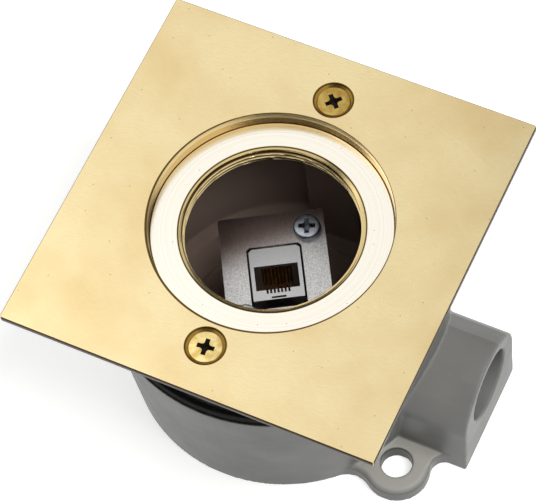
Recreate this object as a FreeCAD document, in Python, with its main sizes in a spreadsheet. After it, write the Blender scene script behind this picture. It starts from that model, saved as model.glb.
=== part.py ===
import FreeCAD, Part
import math
import os
import re

import Sketcher
from FreeCAD import Placement, Rotation, Vector

# Floor socket box: a square brass plate with a threaded recess, an extension collar,
# a round cast box with a conduit boss, and a keystone data jack on a steel bracket.
#
# Frame: the origin is the centre of the box's flat bottom, +Z up, +X along the
# conduit boss, +Y along the line of the two plate screws. Millimetres.

doc = FreeCAD.newDocument("FloorSocketBox")
sheet = doc.addObject("Spreadsheet::Sheet", "Size")

driving_sizes = {
    # cover plate
    "plate_side": 110,
    "plate_thickness": 2,
    "plate_corner": 0.8,
    "countersink_radius": 5.25,
    # turned ring under the plate, outwards from its thread
    "recess_depth": 4.5,
    "recess_wall_lean": 0.35,
    "ledge_width": 9.5,
    "flange_lap": 3.6,
    "flange_thickness": 4.5,
    "hub_wall": 5.7,
    "cap_thread_radius": 24.3,
    "cap_thread_length": 6,
    "cap_thread_bevel": 1.65,
    "cap_thread_runout": 0.9,
    # seal between the ring and the collar
    "seal_width": 2,
    "seal_thickness": 1.5,
    "seal_side_gap": 0.1,
    # extension collar
    "fixing_margin": 3.8,
    "collar_margin": 6.7,
    "collar_height": 20.6,
    "collar_wall": 3.6,
    "collar_web": 3.6,
    "collar_boss_radius": 5.4,
    "fixing_gap": 0.25,
    "seat_gap": 0.2,
    # gasket on the rim of the box
    "gasket_overhang": 1.1,
    "gasket_width": 4.4,
    "gasket_thickness": 2.9,
    "gasket_lobe_radius": 6.4,
    # cast box
    "box_height": 48,
    "rim_overhang": 1.7,
    "wall_lean": 4,
    "box_wall": 4.5,
    "floor_thickness": 5.5,
    "floor_corner": 2.4,
    "floor_step_inset": 14.8,
    "floor_step": 0.8,
    "pillar_width": 16,
    "pillar_nose": 6.6,
    "pillar_hole_spare": 2.85,
    "pillar_bite": 0.1,
    # conduit boss
    "boss_length": 18.2,
    "boss_half_width": 17.4,
    "boss_draft": 0.4,
    "boss_spring_height": 19,
    "boss_crown_height": 36.5,
    "boss_flat_low": 40,
    "boss_flat_high": 65,
    "conduit_radius": 10.7,
    "conduit_height": 22.7,
    "conduit_socket_depth": 16,
    "conduit_shoulder": 1.7,
    # fixing lugs
    "lug_offset": 6.6,
    "lug_angle": -28.75,
    "lug_radius": 9.6,
    "lug_thickness": 5.8,
    "lug_hole_radius": 4.5,
    "lug_blend": 7,
    "lug_bevel": 1.1,
    "lug_bevel_angle": 45,
    "boss_blend": 4,
    # plate screws
    "fixing_screw_radius": 2.5,
    "fixing_head_radius": 4.6,
    "fixing_screw_length": 50,
    "thread_gap": 0.05,
    "cross_length": 4.8,
    "cross_width": 1.1,
    "cross_depth": 1.6,
    # bracket and its fixings
    "bracket_height": 42.5,
    "bracket_turn": 30.7,
    "bracket_x": -0.5,
    "bracket_y": -0.25,
    "bracket_width": 30,
    "bracket_thickness": 1.5,
    "bracket_corner": 0.6,
    "bracket_edge": 6.3,
    "bracket_margin": 2.45,
    "bracket_screw_x": 10,
    "small_screw_radius": 2,
    "small_gap": 0.25,
    "pan_head_radius": 3.8,
    "pan_head_height": 2.3,
    "pan_head_crown": 0.9,
    "pan_flat_radius": 2.8,
    "small_screw_length": 8,
    "standoff_across_flats": 7,
    "standoff_stud_length": 3.8,
    "standoff_tapping": 10,
    "standoff_pad_radius": 5,
    "standoff_pad_height": 1.5,
    # earth terminal
    "earth_x": 26,
    "earth_y": -14,
    "earth_boss_radius": 5.5,
    "earth_boss_height": 2.5,
    "earth_screw_length": 6.5,
    "washer_radius": 4.4,
    "washer_thickness": 0.8,
    # keystone jack: distances below the face are measured down from it
    "jack_width": 14.5,
    "jack_up": 8.7,
    "jack_down": 7.8,
    "jack_corner": 0.9,
    "jack_depth": 20,
    "jack_gap": 0.6,
    "keyhole_down": 10.6,
    "port_width": 12.3,
    "port_up": 3,
    "port_down": 4.6,
    "port_depth": 13,
    "comb_count": 7,
    "comb_slot": 0.55,
    "comb_height": 1.2,
    "comb_depth": 8,
    "foot_slot_width": 4.1,
    "foot_slot_height": 0.55,
    "foot_slot_rise": 0.4,
    "foot_slot_depth": 4,
    "catch_width": 7,
    "catch_reach": 1.3,
    "catch_height": 2,
    # contact carrier and contacts
    "lip_depth": 1.6,
    "channel_height": 1.7,
    "carrier_up": 5.2,
    "carrier_down": 5.4,
    "contact_count": 8,
    "contact_pitch": 1.02,
    "contact_width": 0.34,
    "contact_thickness": 0.3,
    "spring_top_gap": 0.3,
    "spring_start": 2.4,
    "spring_fall": 4.6,
    "spring_spare": 1.6,
    # circuit board and cable terminals
    "board_thickness": 1,
    "board_margin": 0.5,
    "terminal_height": 6.2,
    "terminal_side_gap": 0.25,
    "terminal_end_gap": 0.45,
    "blades_per_side": 4,
    "terminal_pitch": 2.7,
    "wire_slot": 0.7,
    "wire_slot_reach": 2.6,
    "wire_slot_height": 4.6,
    "blade_thickness": 0.4,
    "blade_width": 1.8,
    # hinged rear covers
    "cover_length": 8.4,
    "cover_wall": 0.8,
    "cover_split": 0.3,
    "pin_radius": 0.6,
    "pin_gap": 0.05,
    "knuckle_radius": 1.15,
    "hinge_drop": 1.4,
    "ear_width": 1.2,
    "ear_gap": 0.15,
    "cable_radius": 3.1,
    # spring latch of the jack
    "latch_width": 8,
    "latch_thickness": 0.5,
    "latch_root_rise": 1,
    "latch_root_gap": 0.3,
    "latch_lean": 2,
    "latch_hook_depth": 2,
    "latch_hook_reach": 1.3,
    "latch_hook_height": 1.4,
}

for row, (name, value) in enumerate(driving_sizes.items(), start=1):
    sheet.set(f"A{row}", name)
    sheet.set(f"B{row}", str(value))
    sheet.setAlias(f"B{row}", name)
doc.recompute()


# Sizes that follow from the driving ones: radii outwards from the cap thread, heights up
# from the bottom of the box, and the jack's inner pieces from its outside.
derived_sizes = {
    "recess_radius": "cap_thread_radius + ledge_width",
    "flange_radius": "recess_radius + flange_lap",
    "hub_radius": "cap_thread_radius + hub_wall",
    "seal_radius": "(hub_radius + flange_radius) / 2",
    "fixing_y": "flange_radius + fixing_margin",
    "collar_radius": "fixing_y + collar_margin",
    "gasket_radius": "collar_radius + gasket_overhang",
    "rim_radius": "collar_radius + rim_overhang",
    "base_radius": "rim_radius - wall_lean",
    "floor_step_radius": "base_radius - floor_step_inset",
    "pillar_front": "fixing_y - pillar_nose",
    "boss_reach": "base_radius + boss_length",
    "lug_distance": "base_radius + lug_offset",
    "conduit_throat_radius": "conduit_radius - conduit_shoulder",
    "fixing_clearance_radius": "fixing_screw_radius + fixing_gap",
    "thread_hole_radius": "fixing_screw_radius + thread_gap",
    "small_clearance_radius": "small_screw_radius + small_gap",
    "small_thread_radius": "small_screw_radius + thread_gap",
    "collar_foot": "box_height + gasket_thickness",
    "plate_underside": "collar_foot + collar_height",
    "plate_top": "plate_underside + plate_thickness",
    "fixing_head_top": "plate_top - (countersink_radius - fixing_head_radius)",
    "fixing_tip": "fixing_head_top - fixing_screw_length",
    "bracket_underside": "bracket_height - bracket_thickness",
    "standoff_foot": "floor_thickness + standoff_pad_height",
    "bracket_screw_y": "keyhole_down + bracket_margin",
    "bracket_length": "2 * (bracket_screw_y + bracket_edge)",
    "channel_width": "contact_count * contact_pitch + contact_width",
    "contact_top": "port_up + channel_height / 2",
    "spring_run": "port_depth - spring_start - spring_spare",
    "board_half_width": "jack_width / 2 - 2 * knuckle_radius - terminal_side_gap",
    "terminal_inset": "ear_width + ear_gap + cover_wall + terminal_end_gap",
    "terminal_up": "jack_up - terminal_inset",
    "terminal_down": "jack_down - terminal_inset",
    "board_up": "terminal_up + board_margin",
    "board_down": "terminal_down + board_margin",
    "blade_x": "board_half_width - wire_slot_reach / 2",
    "hinge_x": "jack_width / 2 - knuckle_radius",
    "hinge_z": "-jack_depth - hinge_drop",
    "ear_foot": "hinge_z - knuckle_radius",
    "latch_root_depth": "jack_depth - latch_root_rise",
}


def tied(text):
    """The same formula with each size read from the sheet."""
    def cell(found):
        word = found[0]
        if word in derived_sizes:
            return "(" + tied(derived_sizes[word]) + ")"
        return "Size." + word if word in driving_sizes else word
    return re.sub(r"[a-z][a-z_]*", cell, str(text))


def number(text):
    """Present value of a formula, as a plain float."""
    result = sheet.evalExpression(tied(text))
    return float(getattr(result, "Value", result))


# Sketching

def new_body(name, lift="0", turn=None, x="0", y="0"):
    """A piece in its own body, placed and turned by sizes of the sheet."""
    piece = doc.addObject("PartDesign::Body", name)
    piece.Label = name
    piece.Placement = Placement(Vector(0, 0, 0), Rotation(Vector(0, 0, 1), 1))
    piece.setExpression("Placement.Base.x", tied(x))
    piece.setExpression("Placement.Base.y", tied(y))
    piece.setExpression("Placement.Base.z", tied(lift))
    piece.setExpression("Placement.Rotation.Angle", tied(turn or "0"))
    return piece


def sketch_on(piece, plane, lift="0", turn=None):
    """An empty sketch on one of the body's own planes, moved along its normal."""
    sketch = piece.newObject("Sketcher::SketchObject", "Sketch")
    support = [item for item in piece.Origin.OriginFeatures if item.Role == plane + "_Plane"]
    sketch.AttachmentSupport = (support[0], [""])
    sketch.MapMode = "FlatFace"
    sketch.AttachmentOffset = Placement(Vector(0, 0, 0), Rotation(Vector(0, 0, 1), 1))
    sketch.setExpression("AttachmentOffset.Base.z", tied(lift))
    sketch.setExpression("AttachmentOffset.Rotation.Angle", tied(turn or "0"))
    return sketch


def bind(sketch, constraint, text):
    """Add a constraint and tie its value to the sheet."""
    index = sketch.addConstraint(constraint)
    sketch.setExpression(f"Constraints[{index}]", tied(text))


def pin_point(sketch, edge, end, across, along):
    """Fix one end of an edge at a place given by two formulas."""
    bind(sketch, Sketcher.Constraint("DistanceX", -1, 1, edge, end, number(across)), across)
    bind(sketch, Sketcher.Constraint("DistanceY", -1, 1, edge, end, number(along)), along)


def arc_between(start, end, radius, side):
    """The shorter arc between two points, with its centre left (1) or right (-1) of travel.
    Sketch arcs run anticlockwise, so an arc centred on the right is drawn from its end."""
    chord = end - start
    rise = math.sqrt(max(radius ** 2 - (chord.Length / 2) ** 2, 0))
    centre = (start + end) / 2 + Vector(-chord.y, chord.x, 0).normalize() * rise * side
    first, last = (start, end) if side > 0 else (end, start)
    angles = [math.atan2(spot.y - centre.y, spot.x - centre.x) for spot in (first, last)]
    if angles[1] < angles[0]:
        angles[1] += 2 * math.pi
    return Part.ArcOfCircle(Part.Circle(centre, Vector(0, 0, 1), radius), *angles)


def outline(sketch, corners):
    """A closed line through corners (x, y). A third and fourth entry make the edge that
    leaves the corner an arc of that radius, centred left (1) or right (-1) of travel."""
    first = sketch.GeometryCount
    spots = [Vector(number(corner[0]), number(corner[1]), 0) for corner in corners]
    count = len(corners)
    ends = []
    for index, corner in enumerate(corners):
        start, end = spots[index], spots[(index + 1) % count]
        if len(corner) == 4:
            sketch.addGeometry(arc_between(start, end, number(corner[2]), corner[3]), False)
            ends.append((1, 2) if corner[3] > 0 else (2, 1))
        else:
            sketch.addGeometry(Part.LineSegment(start, end), False)
            ends.append((1, 2))
    for index in range(count):
        following = (index + 1) % count
        sketch.addConstraint(Sketcher.Constraint(
            "Coincident", first + index, ends[index][1], first + following, ends[following][0]))
    for index, corner in enumerate(corners):
        pin_point(sketch, first + index, ends[index][0], corner[0], corner[1])
        if len(corner) == 4:
            bind(sketch, Sketcher.Constraint("Radius", first + index, number(corner[2])), corner[2])


def rectangle(sketch, low_x, low_y, high_x, high_y):
    outline(sketch, [(low_x, low_y), (high_x, low_y), (high_x, high_y), (low_x, high_y)])


def rounded_rectangle(sketch, half_x, half_y, corner):
    outline(sketch, [
        (f"-({half_x}) + {corner}", f"-({half_y})"),
        (f"{half_x} - {corner}", f"-({half_y})", corner, 1),
        (half_x, f"-({half_y}) + {corner}"),
        (half_x, f"{half_y} - {corner}", corner, 1),
        (f"{half_x} - {corner}", half_y),
        (f"-({half_x}) + {corner}", half_y, corner, 1),
        (f"-({half_x})", f"{half_y} - {corner}"),
        (f"-({half_x})", f"-({half_y}) + {corner}", corner, 1),
    ])


def circle(sketch, radius, x="0", y="0"):
    index = sketch.GeometryCount
    centre = Vector(number(x), number(y), 0)
    sketch.addGeometry(Part.Circle(centre, Vector(0, 0, 1), number(radius)), False)
    pin_point(sketch, index, 3, x, y)
    bind(sketch, Sketcher.Constraint("Radius", index, number(radius)), radius)


def cross(sketch, x, y):
    """Outline of a cross recess."""
    long, short = "cross_length / 2", "cross_width / 2"
    corners = [(long, short), (short, short), (short, long),
               (f"-{short}", long), (f"-{short}", short), (f"-{long}", short),
               (f"-{long}", f"-{short}"), (f"-{short}", f"-{short}"), (f"-{short}", f"-{long}"),
               (short, f"-{long}"), (short, f"-{short}"), (long, f"-{short}")]
    outline(sketch, [(f"{x} + {across}", f"{y} + {along}") for across, along in corners])


def hexagon(sketch, x, y, across_flats):
    corners = []
    sides = 6
    reach = f"({across_flats}) / 2 / cos(180 / {sides})"
    for step in range(sides):
        angle = 360 / sides * step
        corners.append((f"{x} + {reach} * cos({angle})", f"{y} + {reach} * sin({angle})"))
    outline(sketch, corners)


# Solid features

def feature(piece, kind, sketch):
    made = piece.newObject("PartDesign::" + kind, kind)
    made.Profile = sketch
    sketch.Visibility = False
    return made


def settle(piece, made, removes):
    """Recompute, and check that the feature changed the piece the right way."""
    before = made.BaseFeature.Shape.Volume if made.BaseFeature else 0
    doc.recompute()
    change = made.Shape.Volume - before
    if not made.isValid() or (change >= 0 if removes else change <= 0):
        raise RuntimeError(f"{piece.Label}: {made.Name} changed the volume by {change:.3f}")
    return made


def pad(piece, sketch, length, reverse=False, both_ways=False, taper="0"):
    made = feature(piece, "Pad", sketch)
    made.setExpression("TaperAngle", tied(taper))
    made.setExpression("Length", tied(length))
    made.Reversed = reverse
    made.SideType = "Symmetric" if both_ways else "One side"
    return settle(piece, made, removes=False)


def pocket(piece, sketch, length=None, reverse=False, both_ways=False):
    """Cut against the sketch's normal, or along it when reversed; right through if no length."""
    made = feature(piece, "Pocket", sketch)
    if length is None:
        made.Type = "ThroughAll"
    else:
        made.setExpression("Length", tied(length))
    made.Reversed = reverse
    made.SideType = "Symmetric" if both_ways else "One side"
    return settle(piece, made, removes=True)


def turned(piece, sketch, axis="V_Axis"):
    made = feature(piece, "Revolution", sketch)
    made.ReferenceAxis = (sketch, [axis])
    made.Angle = 360
    return settle(piece, made, removes=False)


def grooved(piece, sketch, axis="V_Axis"):
    made = feature(piece, "Groove", sketch)
    made.ReferenceAxis = (sketch, [axis])
    made.Angle = 360
    return settle(piece, made, removes=True)


def profile_at(piece, x, y, corners):
    """A profile of (radius, height) corners beside a vertical axis at x, y."""
    sketch = sketch_on(piece, "XZ", lift=f"-({y})")
    outline(sketch, [(f"{x} + {radius}", height) for radius, height in corners])
    heights = [number(height) for _, height in corners]
    axis = sketch.addGeometry(Part.LineSegment(
        Vector(number(x), min(heights), 0), Vector(number(x), max(heights), 0)), True)
    pin_point(sketch, axis, 1, x, min(corners, key=lambda corner: number(corner[1]))[1])
    pin_point(sketch, axis, 2, x, max(corners, key=lambda corner: number(corner[1]))[1])
    return sketch


def around(piece, originals, count=2):
    """Repeat features round the vertical axis."""
    made = piece.newObject("PartDesign::PolarPattern", "PolarPattern")
    made.Originals = originals
    upright = [item for item in piece.Origin.OriginFeatures if item.Role == "Z_Axis"]
    made.Axis = (upright[0], [""])
    made.Angle = 360
    made.Occurrences = count
    piece.Tip = made
    doc.recompute()
    return made


pieces = []


def keep(piece):
    pieces.append(piece)
    return piece


# Brass plate and ring

def make_cover_plate():
    plate = new_body("cover_plate", lift="plate_underside")
    sheet_outline = sketch_on(plate, "XY")
    rounded_rectangle(sheet_outline, "plate_side / 2", "plate_side / 2", "plate_corner")
    circle(sheet_outline, "recess_radius")
    pad(plate, sheet_outline, "plate_thickness")
    # the countersink is cut right through the thin sheet
    seat = profile_at(plate, "0", "fixing_y", [
        ("0", "0"),
        ("countersink_radius - plate_thickness", "0"),
        ("countersink_radius", "plate_thickness"),
        ("0", "plate_thickness")])
    around(plate, [grooved(plate, seat, "Axis0")])
    return plate


def make_recess_ring():
    ring = new_body("recess_ring", lift="plate_underside")
    recess_floor = "(plate_thickness - recess_depth)"
    wall_foot = "(recess_radius - recess_wall_lean)"
    section = sketch_on(ring, "XZ")
    outline(section, [
        ("flange_radius", "0"),
        ("flange_radius", "-flange_thickness"),
        ("hub_radius", "-flange_thickness"),
        ("hub_radius", f"{recess_floor} - cap_thread_length"),
        ("cap_thread_radius + cap_thread_runout", f"{recess_floor} - cap_thread_length"),
        ("cap_thread_radius", f"{recess_floor} - cap_thread_length + cap_thread_runout"),
        ("cap_thread_radius", f"{recess_floor} - cap_thread_bevel"),
        ("cap_thread_radius + cap_thread_bevel", recess_floor),
        (wall_foot, recess_floor),
        ("recess_radius", "0"),
    ])
    turned(ring, section)
    return ring


def make_ring_seal():
    seal = new_body("ring_seal", lift="plate_underside - flange_thickness - seal_thickness")
    section = sketch_on(seal, "XZ")
    rectangle(section, "seal_radius - seal_width / 2", "0", "seal_radius + seal_width / 2",
              "seal_thickness")
    turned(seal, section)
    return seal


def make_plate_screws():
    """Two long countersunk screws that clamp plate, ring, collar and gasket to the box."""
    screws = new_body("plate_screws")
    body_shape = turned(screws, profile_at(screws, "0", "fixing_y", [
        ("0", "fixing_head_top"),
        ("fixing_head_radius", "fixing_head_top"),
        ("fixing_screw_radius", "fixing_head_top - fixing_head_radius + fixing_screw_radius"),
        ("fixing_screw_radius", "fixing_tip"),
        ("0", "fixing_tip")]), "Axis0")
    drive = sketch_on(screws, "XY", lift="fixing_head_top")
    cross(drive, "0", "fixing_y")
    around(screws, [body_shape, pocket(screws, drive, "cross_depth")])
    return screws


# Collar and gasket

def make_extension_collar():
    collar = new_body("extension_collar", lift="collar_foot")
    seat = "(collar_height - flange_thickness)"
    groove_half = "(seal_width / 2 + seal_side_gap)"
    section = sketch_on(collar, "XZ")
    outline(section, [
        ("collar_radius - collar_wall", "0"),
        ("collar_radius", "0"),
        ("collar_radius", "collar_height"),
        ("flange_radius + seat_gap", "collar_height"),
        ("flange_radius + seat_gap", seat),
        (f"seal_radius + {groove_half}", seat),
        (f"seal_radius + {groove_half}", f"{seat} - seal_thickness"),
        (f"seal_radius - {groove_half}", f"{seat} - seal_thickness"),
        (f"seal_radius - {groove_half}", seat),
        ("hub_radius + seat_gap", seat),
        ("hub_radius + seat_gap", f"{seat} - collar_web"),
        ("collar_radius - collar_wall", f"{seat} - collar_web"),
    ])
    turned(collar, section)
    bosses = sketch_on(collar, "XY")
    for side in (1, -1):
        circle(bosses, "collar_boss_radius", "0", f"{side} * fixing_y")
    pad(collar, bosses, seat)
    holes = sketch_on(collar, "XY", lift="collar_height")
    for side in (1, -1):
        circle(holes, "fixing_clearance_radius", "0", f"{side} * fixing_y")
    pocket(collar, holes)
    # the cone of the plate's countersink runs on into the top of the collar
    cone_radius = "(countersink_radius - plate_thickness)"
    seat_cone = profile_at(collar, "0", "fixing_y", [
        ("0", f"collar_height - ({cone_radius} - fixing_clearance_radius)"),
        ("fixing_clearance_radius", f"collar_height - ({cone_radius} - fixing_clearance_radius)"),
        (cone_radius, "collar_height"),
        ("0", "collar_height")])
    around(collar, [grooved(collar, seat_cone, "Axis0")])
    return collar


def make_rim_gasket():
    gasket = new_body("rim_gasket", lift="box_height")
    band = sketch_on(gasket, "XY")
    circle(band, "gasket_radius")
    circle(band, "gasket_radius - gasket_width")
    pad(gasket, band, "gasket_thickness")
    lobes = sketch_on(gasket, "XY")
    for side in (1, -1):
        circle(lobes, "gasket_lobe_radius", "0", f"{side} * fixing_y")
    pad(gasket, lobes, "gasket_thickness")
    holes = sketch_on(gasket, "XY", lift="gasket_thickness")
    for side in (1, -1):
        circle(holes, "fixing_clearance_radius", "0", f"{side} * fixing_y")
    pocket(gasket, holes)
    return gasket


# Cast box

def draw_lug(sketch):
    """Rounded lug in the sketch's own frame, blended into the round wall."""
    blend_distance = "(base_radius + lug_blend)"
    reach = "(lug_radius + lug_blend)"
    blend_x = f"((lug_distance^2 + {blend_distance}^2 - {reach}^2) / (2 * lug_distance))"
    blend_y = f"sqrt({blend_distance}^2 - {blend_x}^2)"
    wall_share = f"(base_radius / {blend_distance})"
    lug_share = f"(lug_radius / {reach})"
    wall_x, wall_y = f"{blend_x} * {wall_share}", f"{blend_y} * {wall_share}"
    side_x = f"lug_distance + ({blend_x} - lug_distance) * {lug_share}"
    side_y = f"{blend_y} * {lug_share}"
    root_x = f"{wall_x} - 2 * lug_bevel"
    outline(sketch, [
        (root_x, f"-{wall_y}"),
        (wall_x, f"-{wall_y}", "lug_blend", -1),
        (side_x, f"-{side_y}", "lug_radius", 1),
        ("lug_distance + lug_radius", "0", "lug_radius", 1),
        (side_x, side_y, "lug_blend", -1),
        (wall_x, wall_y),
        (root_x, wall_y),
    ])


def draw_boss_web(sketch):
    """Fillet in plan between the lug beside the boss and the boss's flank."""
    lug_x, lug_y = "(lug_distance * cos(lug_angle))", "(lug_distance * sin(lug_angle))"
    reach = "(lug_radius + boss_blend)"
    fall = f"(-boss_half_width - boss_blend - {lug_y})"
    run = f"sqrt({reach}^2 - {fall}^2)"
    flank = "boss_draft - boss_half_width"
    outline(sketch, [
        (lug_x, lug_y),
        (f"{lug_x} + {run} * lug_radius / {reach}", f"{lug_y} + {fall} * lug_radius / {reach}",
         "boss_blend", -1),
        (f"{lug_x} + {run}", "-boss_half_width"),
        (f"{lug_x} + {run}", flank),
        (lug_x, flank),
    ])


def make_box_body():
    box = new_body("box_body")
    draft = "((rim_radius - base_radius) / box_height)"

    shell = sketch_on(box, "XZ")
    outline(shell, [
        ("0", "0"),
        ("base_radius", "0"),
        ("rim_radius", "box_height"),
        ("0", "box_height")])
    turned(box, shell)

    # arched boss with a flat along each shoulder, between two angles of the arch
    arch_half = "(boss_half_width - boss_draft)"
    arch_rise = "(boss_crown_height - boss_spring_height)"
    arch_radius = f"(({arch_half}^2 + {arch_rise}^2) / (2 * {arch_rise}))"
    arch_centre = f"(boss_crown_height - {arch_radius})"
    low_y, high_y = f"{arch_radius} * cos(boss_flat_low)", f"{arch_radius} * cos(boss_flat_high)"
    low_z = f"{arch_centre} + {arch_radius} * sin(boss_flat_low)"
    high_z = f"{arch_centre} + {arch_radius} * sin(boss_flat_high)"
    boss = sketch_on(box, "YZ")
    outline(boss, [
        ("-boss_half_width", "0"),
        ("boss_half_width", "0"),
        (arch_half, "boss_spring_height", arch_radius, 1),
        (low_y, low_z),
        (high_y, high_z, arch_radius, 1),
        (f"-{high_y}", high_z),
        (f"-{low_y}", low_z, arch_radius, 1),
        (f"-{arch_half}", "boss_spring_height"),
    ])
    pad(box, boss, "boss_reach")

    # each lug is a plain slab with a bevelled layer on top
    for turn in ("lug_angle", "lug_angle + 180"):
        slab = sketch_on(box, "XY", turn=turn)
        draw_lug(slab)
        pad(box, slab, "lug_thickness - lug_bevel")
        crown = sketch_on(box, "XY", lift="lug_thickness - lug_bevel", turn=turn)
        draw_lug(crown)
        pad(box, crown, "lug_bevel", taper="-lug_bevel_angle")
    web = sketch_on(box, "XY")
    draw_boss_web(web)
    pad(box, web, "lug_thickness")

    # hollow: a tapered bore with a stepped floor and an angled corner
    hollow = sketch_on(box, "XZ")
    floor_radius = f"(base_radius + {draft} * floor_thickness - box_wall)"
    outline(hollow, [
        ("0", "floor_thickness"),
        ("floor_step_radius", "floor_thickness"),
        ("floor_step_radius", "floor_thickness + floor_step"),
        (f"{floor_radius} - floor_corner", "floor_thickness + floor_step"),
        (f"{floor_radius} + {draft} * (floor_corner + floor_step)",
         "floor_thickness + floor_step + floor_corner"),
        ("rim_radius - box_wall", "box_height"),
        ("0", "box_height")])
    grooved(box, hollow)

    # two pillars against the wall take the plate screws
    pillar_back = "((rim_radius - box_wall + base_radius) / 2 + pillar_bite)"
    back_y = f"sqrt({pillar_back}^2 - (pillar_width / 2)^2)"
    pillars = sketch_on(box, "XY", lift="floor_thickness")
    for side in (1, -1):
        outline(pillars, [
            (f"-{side} * pillar_width / 2", f"{side} * pillar_front"),
            (f"{side} * pillar_width / 2", f"{side} * pillar_front"),
            (f"{side} * pillar_width / 2", f"{side} * {back_y}", pillar_back, 1),
            (f"-{side} * pillar_width / 2", f"{side} * {back_y}")])
    pad(box, pillars, "box_height - floor_thickness")
    threads = sketch_on(box, "XY", lift="box_height")
    for side in (1, -1):
        circle(threads, "thread_hole_radius", "0", f"{side} * fixing_y")
    pocket(box, threads, "box_height - fixing_tip + pillar_hole_spare")

    # pads on the floor for the two standoffs and the earth screw
    turn_cos, turn_sin = "cos(bracket_turn)", "sin(bracket_turn)"
    pad_x = f"(bracket_screw_x * {turn_cos} - bracket_screw_y * {turn_sin})"
    pad_y = f"(bracket_screw_x * {turn_sin} + bracket_screw_y * {turn_cos})"
    standoff_pads = sketch_on(box, "XY", lift="floor_thickness - floor_step")
    for side in (1, -1):
        circle(standoff_pads, "standoff_pad_radius", f"bracket_x + {side} * {pad_x}",
               f"bracket_y + {side} * {pad_y}")
    pad(box, standoff_pads, "floor_step + standoff_pad_height")
    earth_pad = sketch_on(box, "XY", lift="floor_thickness - floor_step")
    circle(earth_pad, "earth_boss_radius", "earth_x", "earth_y")
    pad(box, earth_pad, "floor_step + earth_boss_height")
    stud_holes = sketch_on(box, "XY", lift="standoff_foot")
    for side in (1, -1):
        circle(stud_holes, "small_thread_radius", f"bracket_x + {side} * {pad_x}",
               f"bracket_y + {side} * {pad_y}")
    pocket(box, stud_holes, "standoff_stud_length + thread_gap")
    earth_hole = sketch_on(box, "XY", lift="floor_thickness + earth_boss_height")
    circle(earth_hole, "small_thread_radius", "earth_x", "earth_y")
    pocket(box, earth_hole, "earth_screw_length - washer_thickness + thread_gap")

    # conduit entry: a plain socket with a shoulder, then a throat into the box
    socket = sketch_on(box, "YZ", lift="boss_reach")
    circle(socket, "conduit_radius", "0", "conduit_height")
    pocket(box, socket, "conduit_socket_depth")
    throat = sketch_on(box, "YZ", lift="boss_reach")
    circle(throat, "conduit_throat_radius", "0", "conduit_height")
    pocket(box, throat, "boss_reach - base_radius / 2")

    lug_holes = sketch_on(box, "XY", lift="lug_thickness", turn="lug_angle")
    for side in (1, -1):
        circle(lug_holes, "lug_hole_radius", f"{side} * lug_distance", "0")
    pocket(box, lug_holes, "lug_thickness")
    return box


# Bracket and small screws

def pan_head_screw(piece, x, y, seat, length):
    """Pan head screw standing on a seat height, with a cross recess."""
    top = f"{seat} + pan_head_height"
    shape = turned(piece, profile_at(piece, x, y, [
        ("0", top),
        ("pan_flat_radius", top),
        ("pan_head_radius", f"{top} - pan_head_crown"),
        ("pan_head_radius", seat),
        ("small_screw_radius", seat),
        ("small_screw_radius", f"{seat} - {length}"),
        ("0", f"{seat} - {length}")]), "Axis0")
    drive = sketch_on(piece, "XY", lift=top)
    cross(drive, x, y)
    return [shape, pocket(piece, drive, "cross_depth")]


def bracket_body(name, lift):
    """A body turned and placed with the bracket."""
    return new_body(name, lift=lift, turn="bracket_turn", x="bracket_x", y="bracket_y")


def make_jack_bracket():
    bracket = bracket_body("jack_bracket", "bracket_underside")
    blank = sketch_on(bracket, "XY")
    rounded_rectangle(blank, "bracket_width / 2", "bracket_length / 2", "bracket_corner")
    half, top = "(jack_width / 2 + jack_gap)", "(jack_up + jack_gap)"
    outline(blank, [
        (f"-{half}", "-keyhole_down"),
        (half, "-keyhole_down"),
        (half, f"{top} - jack_corner"),
        (f"{half} - jack_corner", top),
        (f"jack_corner - {half}", top),
        (f"-{half}", f"{top} - jack_corner")])
    for side in (1, -1):
        circle(blank, "small_clearance_radius", f"{side} * bracket_screw_x",
               f"{side} * bracket_screw_y")
    pad(bracket, blank, "bracket_thickness")
    return bracket


def make_bracket_standoffs():
    standoffs = bracket_body("bracket_standoffs", "standoff_foot")
    height = "(bracket_underside - standoff_foot)"
    bars = sketch_on(standoffs, "XY")
    studs = sketch_on(standoffs, "XY")
    taps = sketch_on(standoffs, "XY", lift=height)
    for side in (1, -1):
        x, y = f"{side} * bracket_screw_x", f"{side} * bracket_screw_y"
        hexagon(bars, x, y, "standoff_across_flats")
        circle(studs, "small_screw_radius", x, y)
        circle(taps, "small_thread_radius", x, y)
    pad(standoffs, bars, height)
    pad(standoffs, studs, "standoff_stud_length", reverse=True)
    pocket(standoffs, taps, "standoff_tapping")
    return standoffs


def make_bracket_screws():
    screws = bracket_body("bracket_screws", "bracket_height")
    around(screws, pan_head_screw(screws, "bracket_screw_x", "bracket_screw_y", "0",
                                  "small_screw_length"))
    return screws


def make_earth_washer():
    washer = new_body("earth_washer", lift="floor_thickness + earth_boss_height")
    ring = sketch_on(washer, "XY")
    circle(ring, "washer_radius", "earth_x", "earth_y")
    circle(ring, "small_clearance_radius", "earth_x", "earth_y")
    pad(washer, ring, "washer_thickness")
    return washer


def make_earth_screw():
    seat = "floor_thickness + earth_boss_height + washer_thickness"
    screw = new_body("earth_screw", lift=seat)
    pan_head_screw(screw, "earth_x", "earth_y", "0", "earth_screw_length")
    return screw


# Keystone jack

def jack_body(name):
    """A body in the jack's frame: its face is level with the top of the bracket."""
    return bracket_body(name, "bracket_height")


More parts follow.
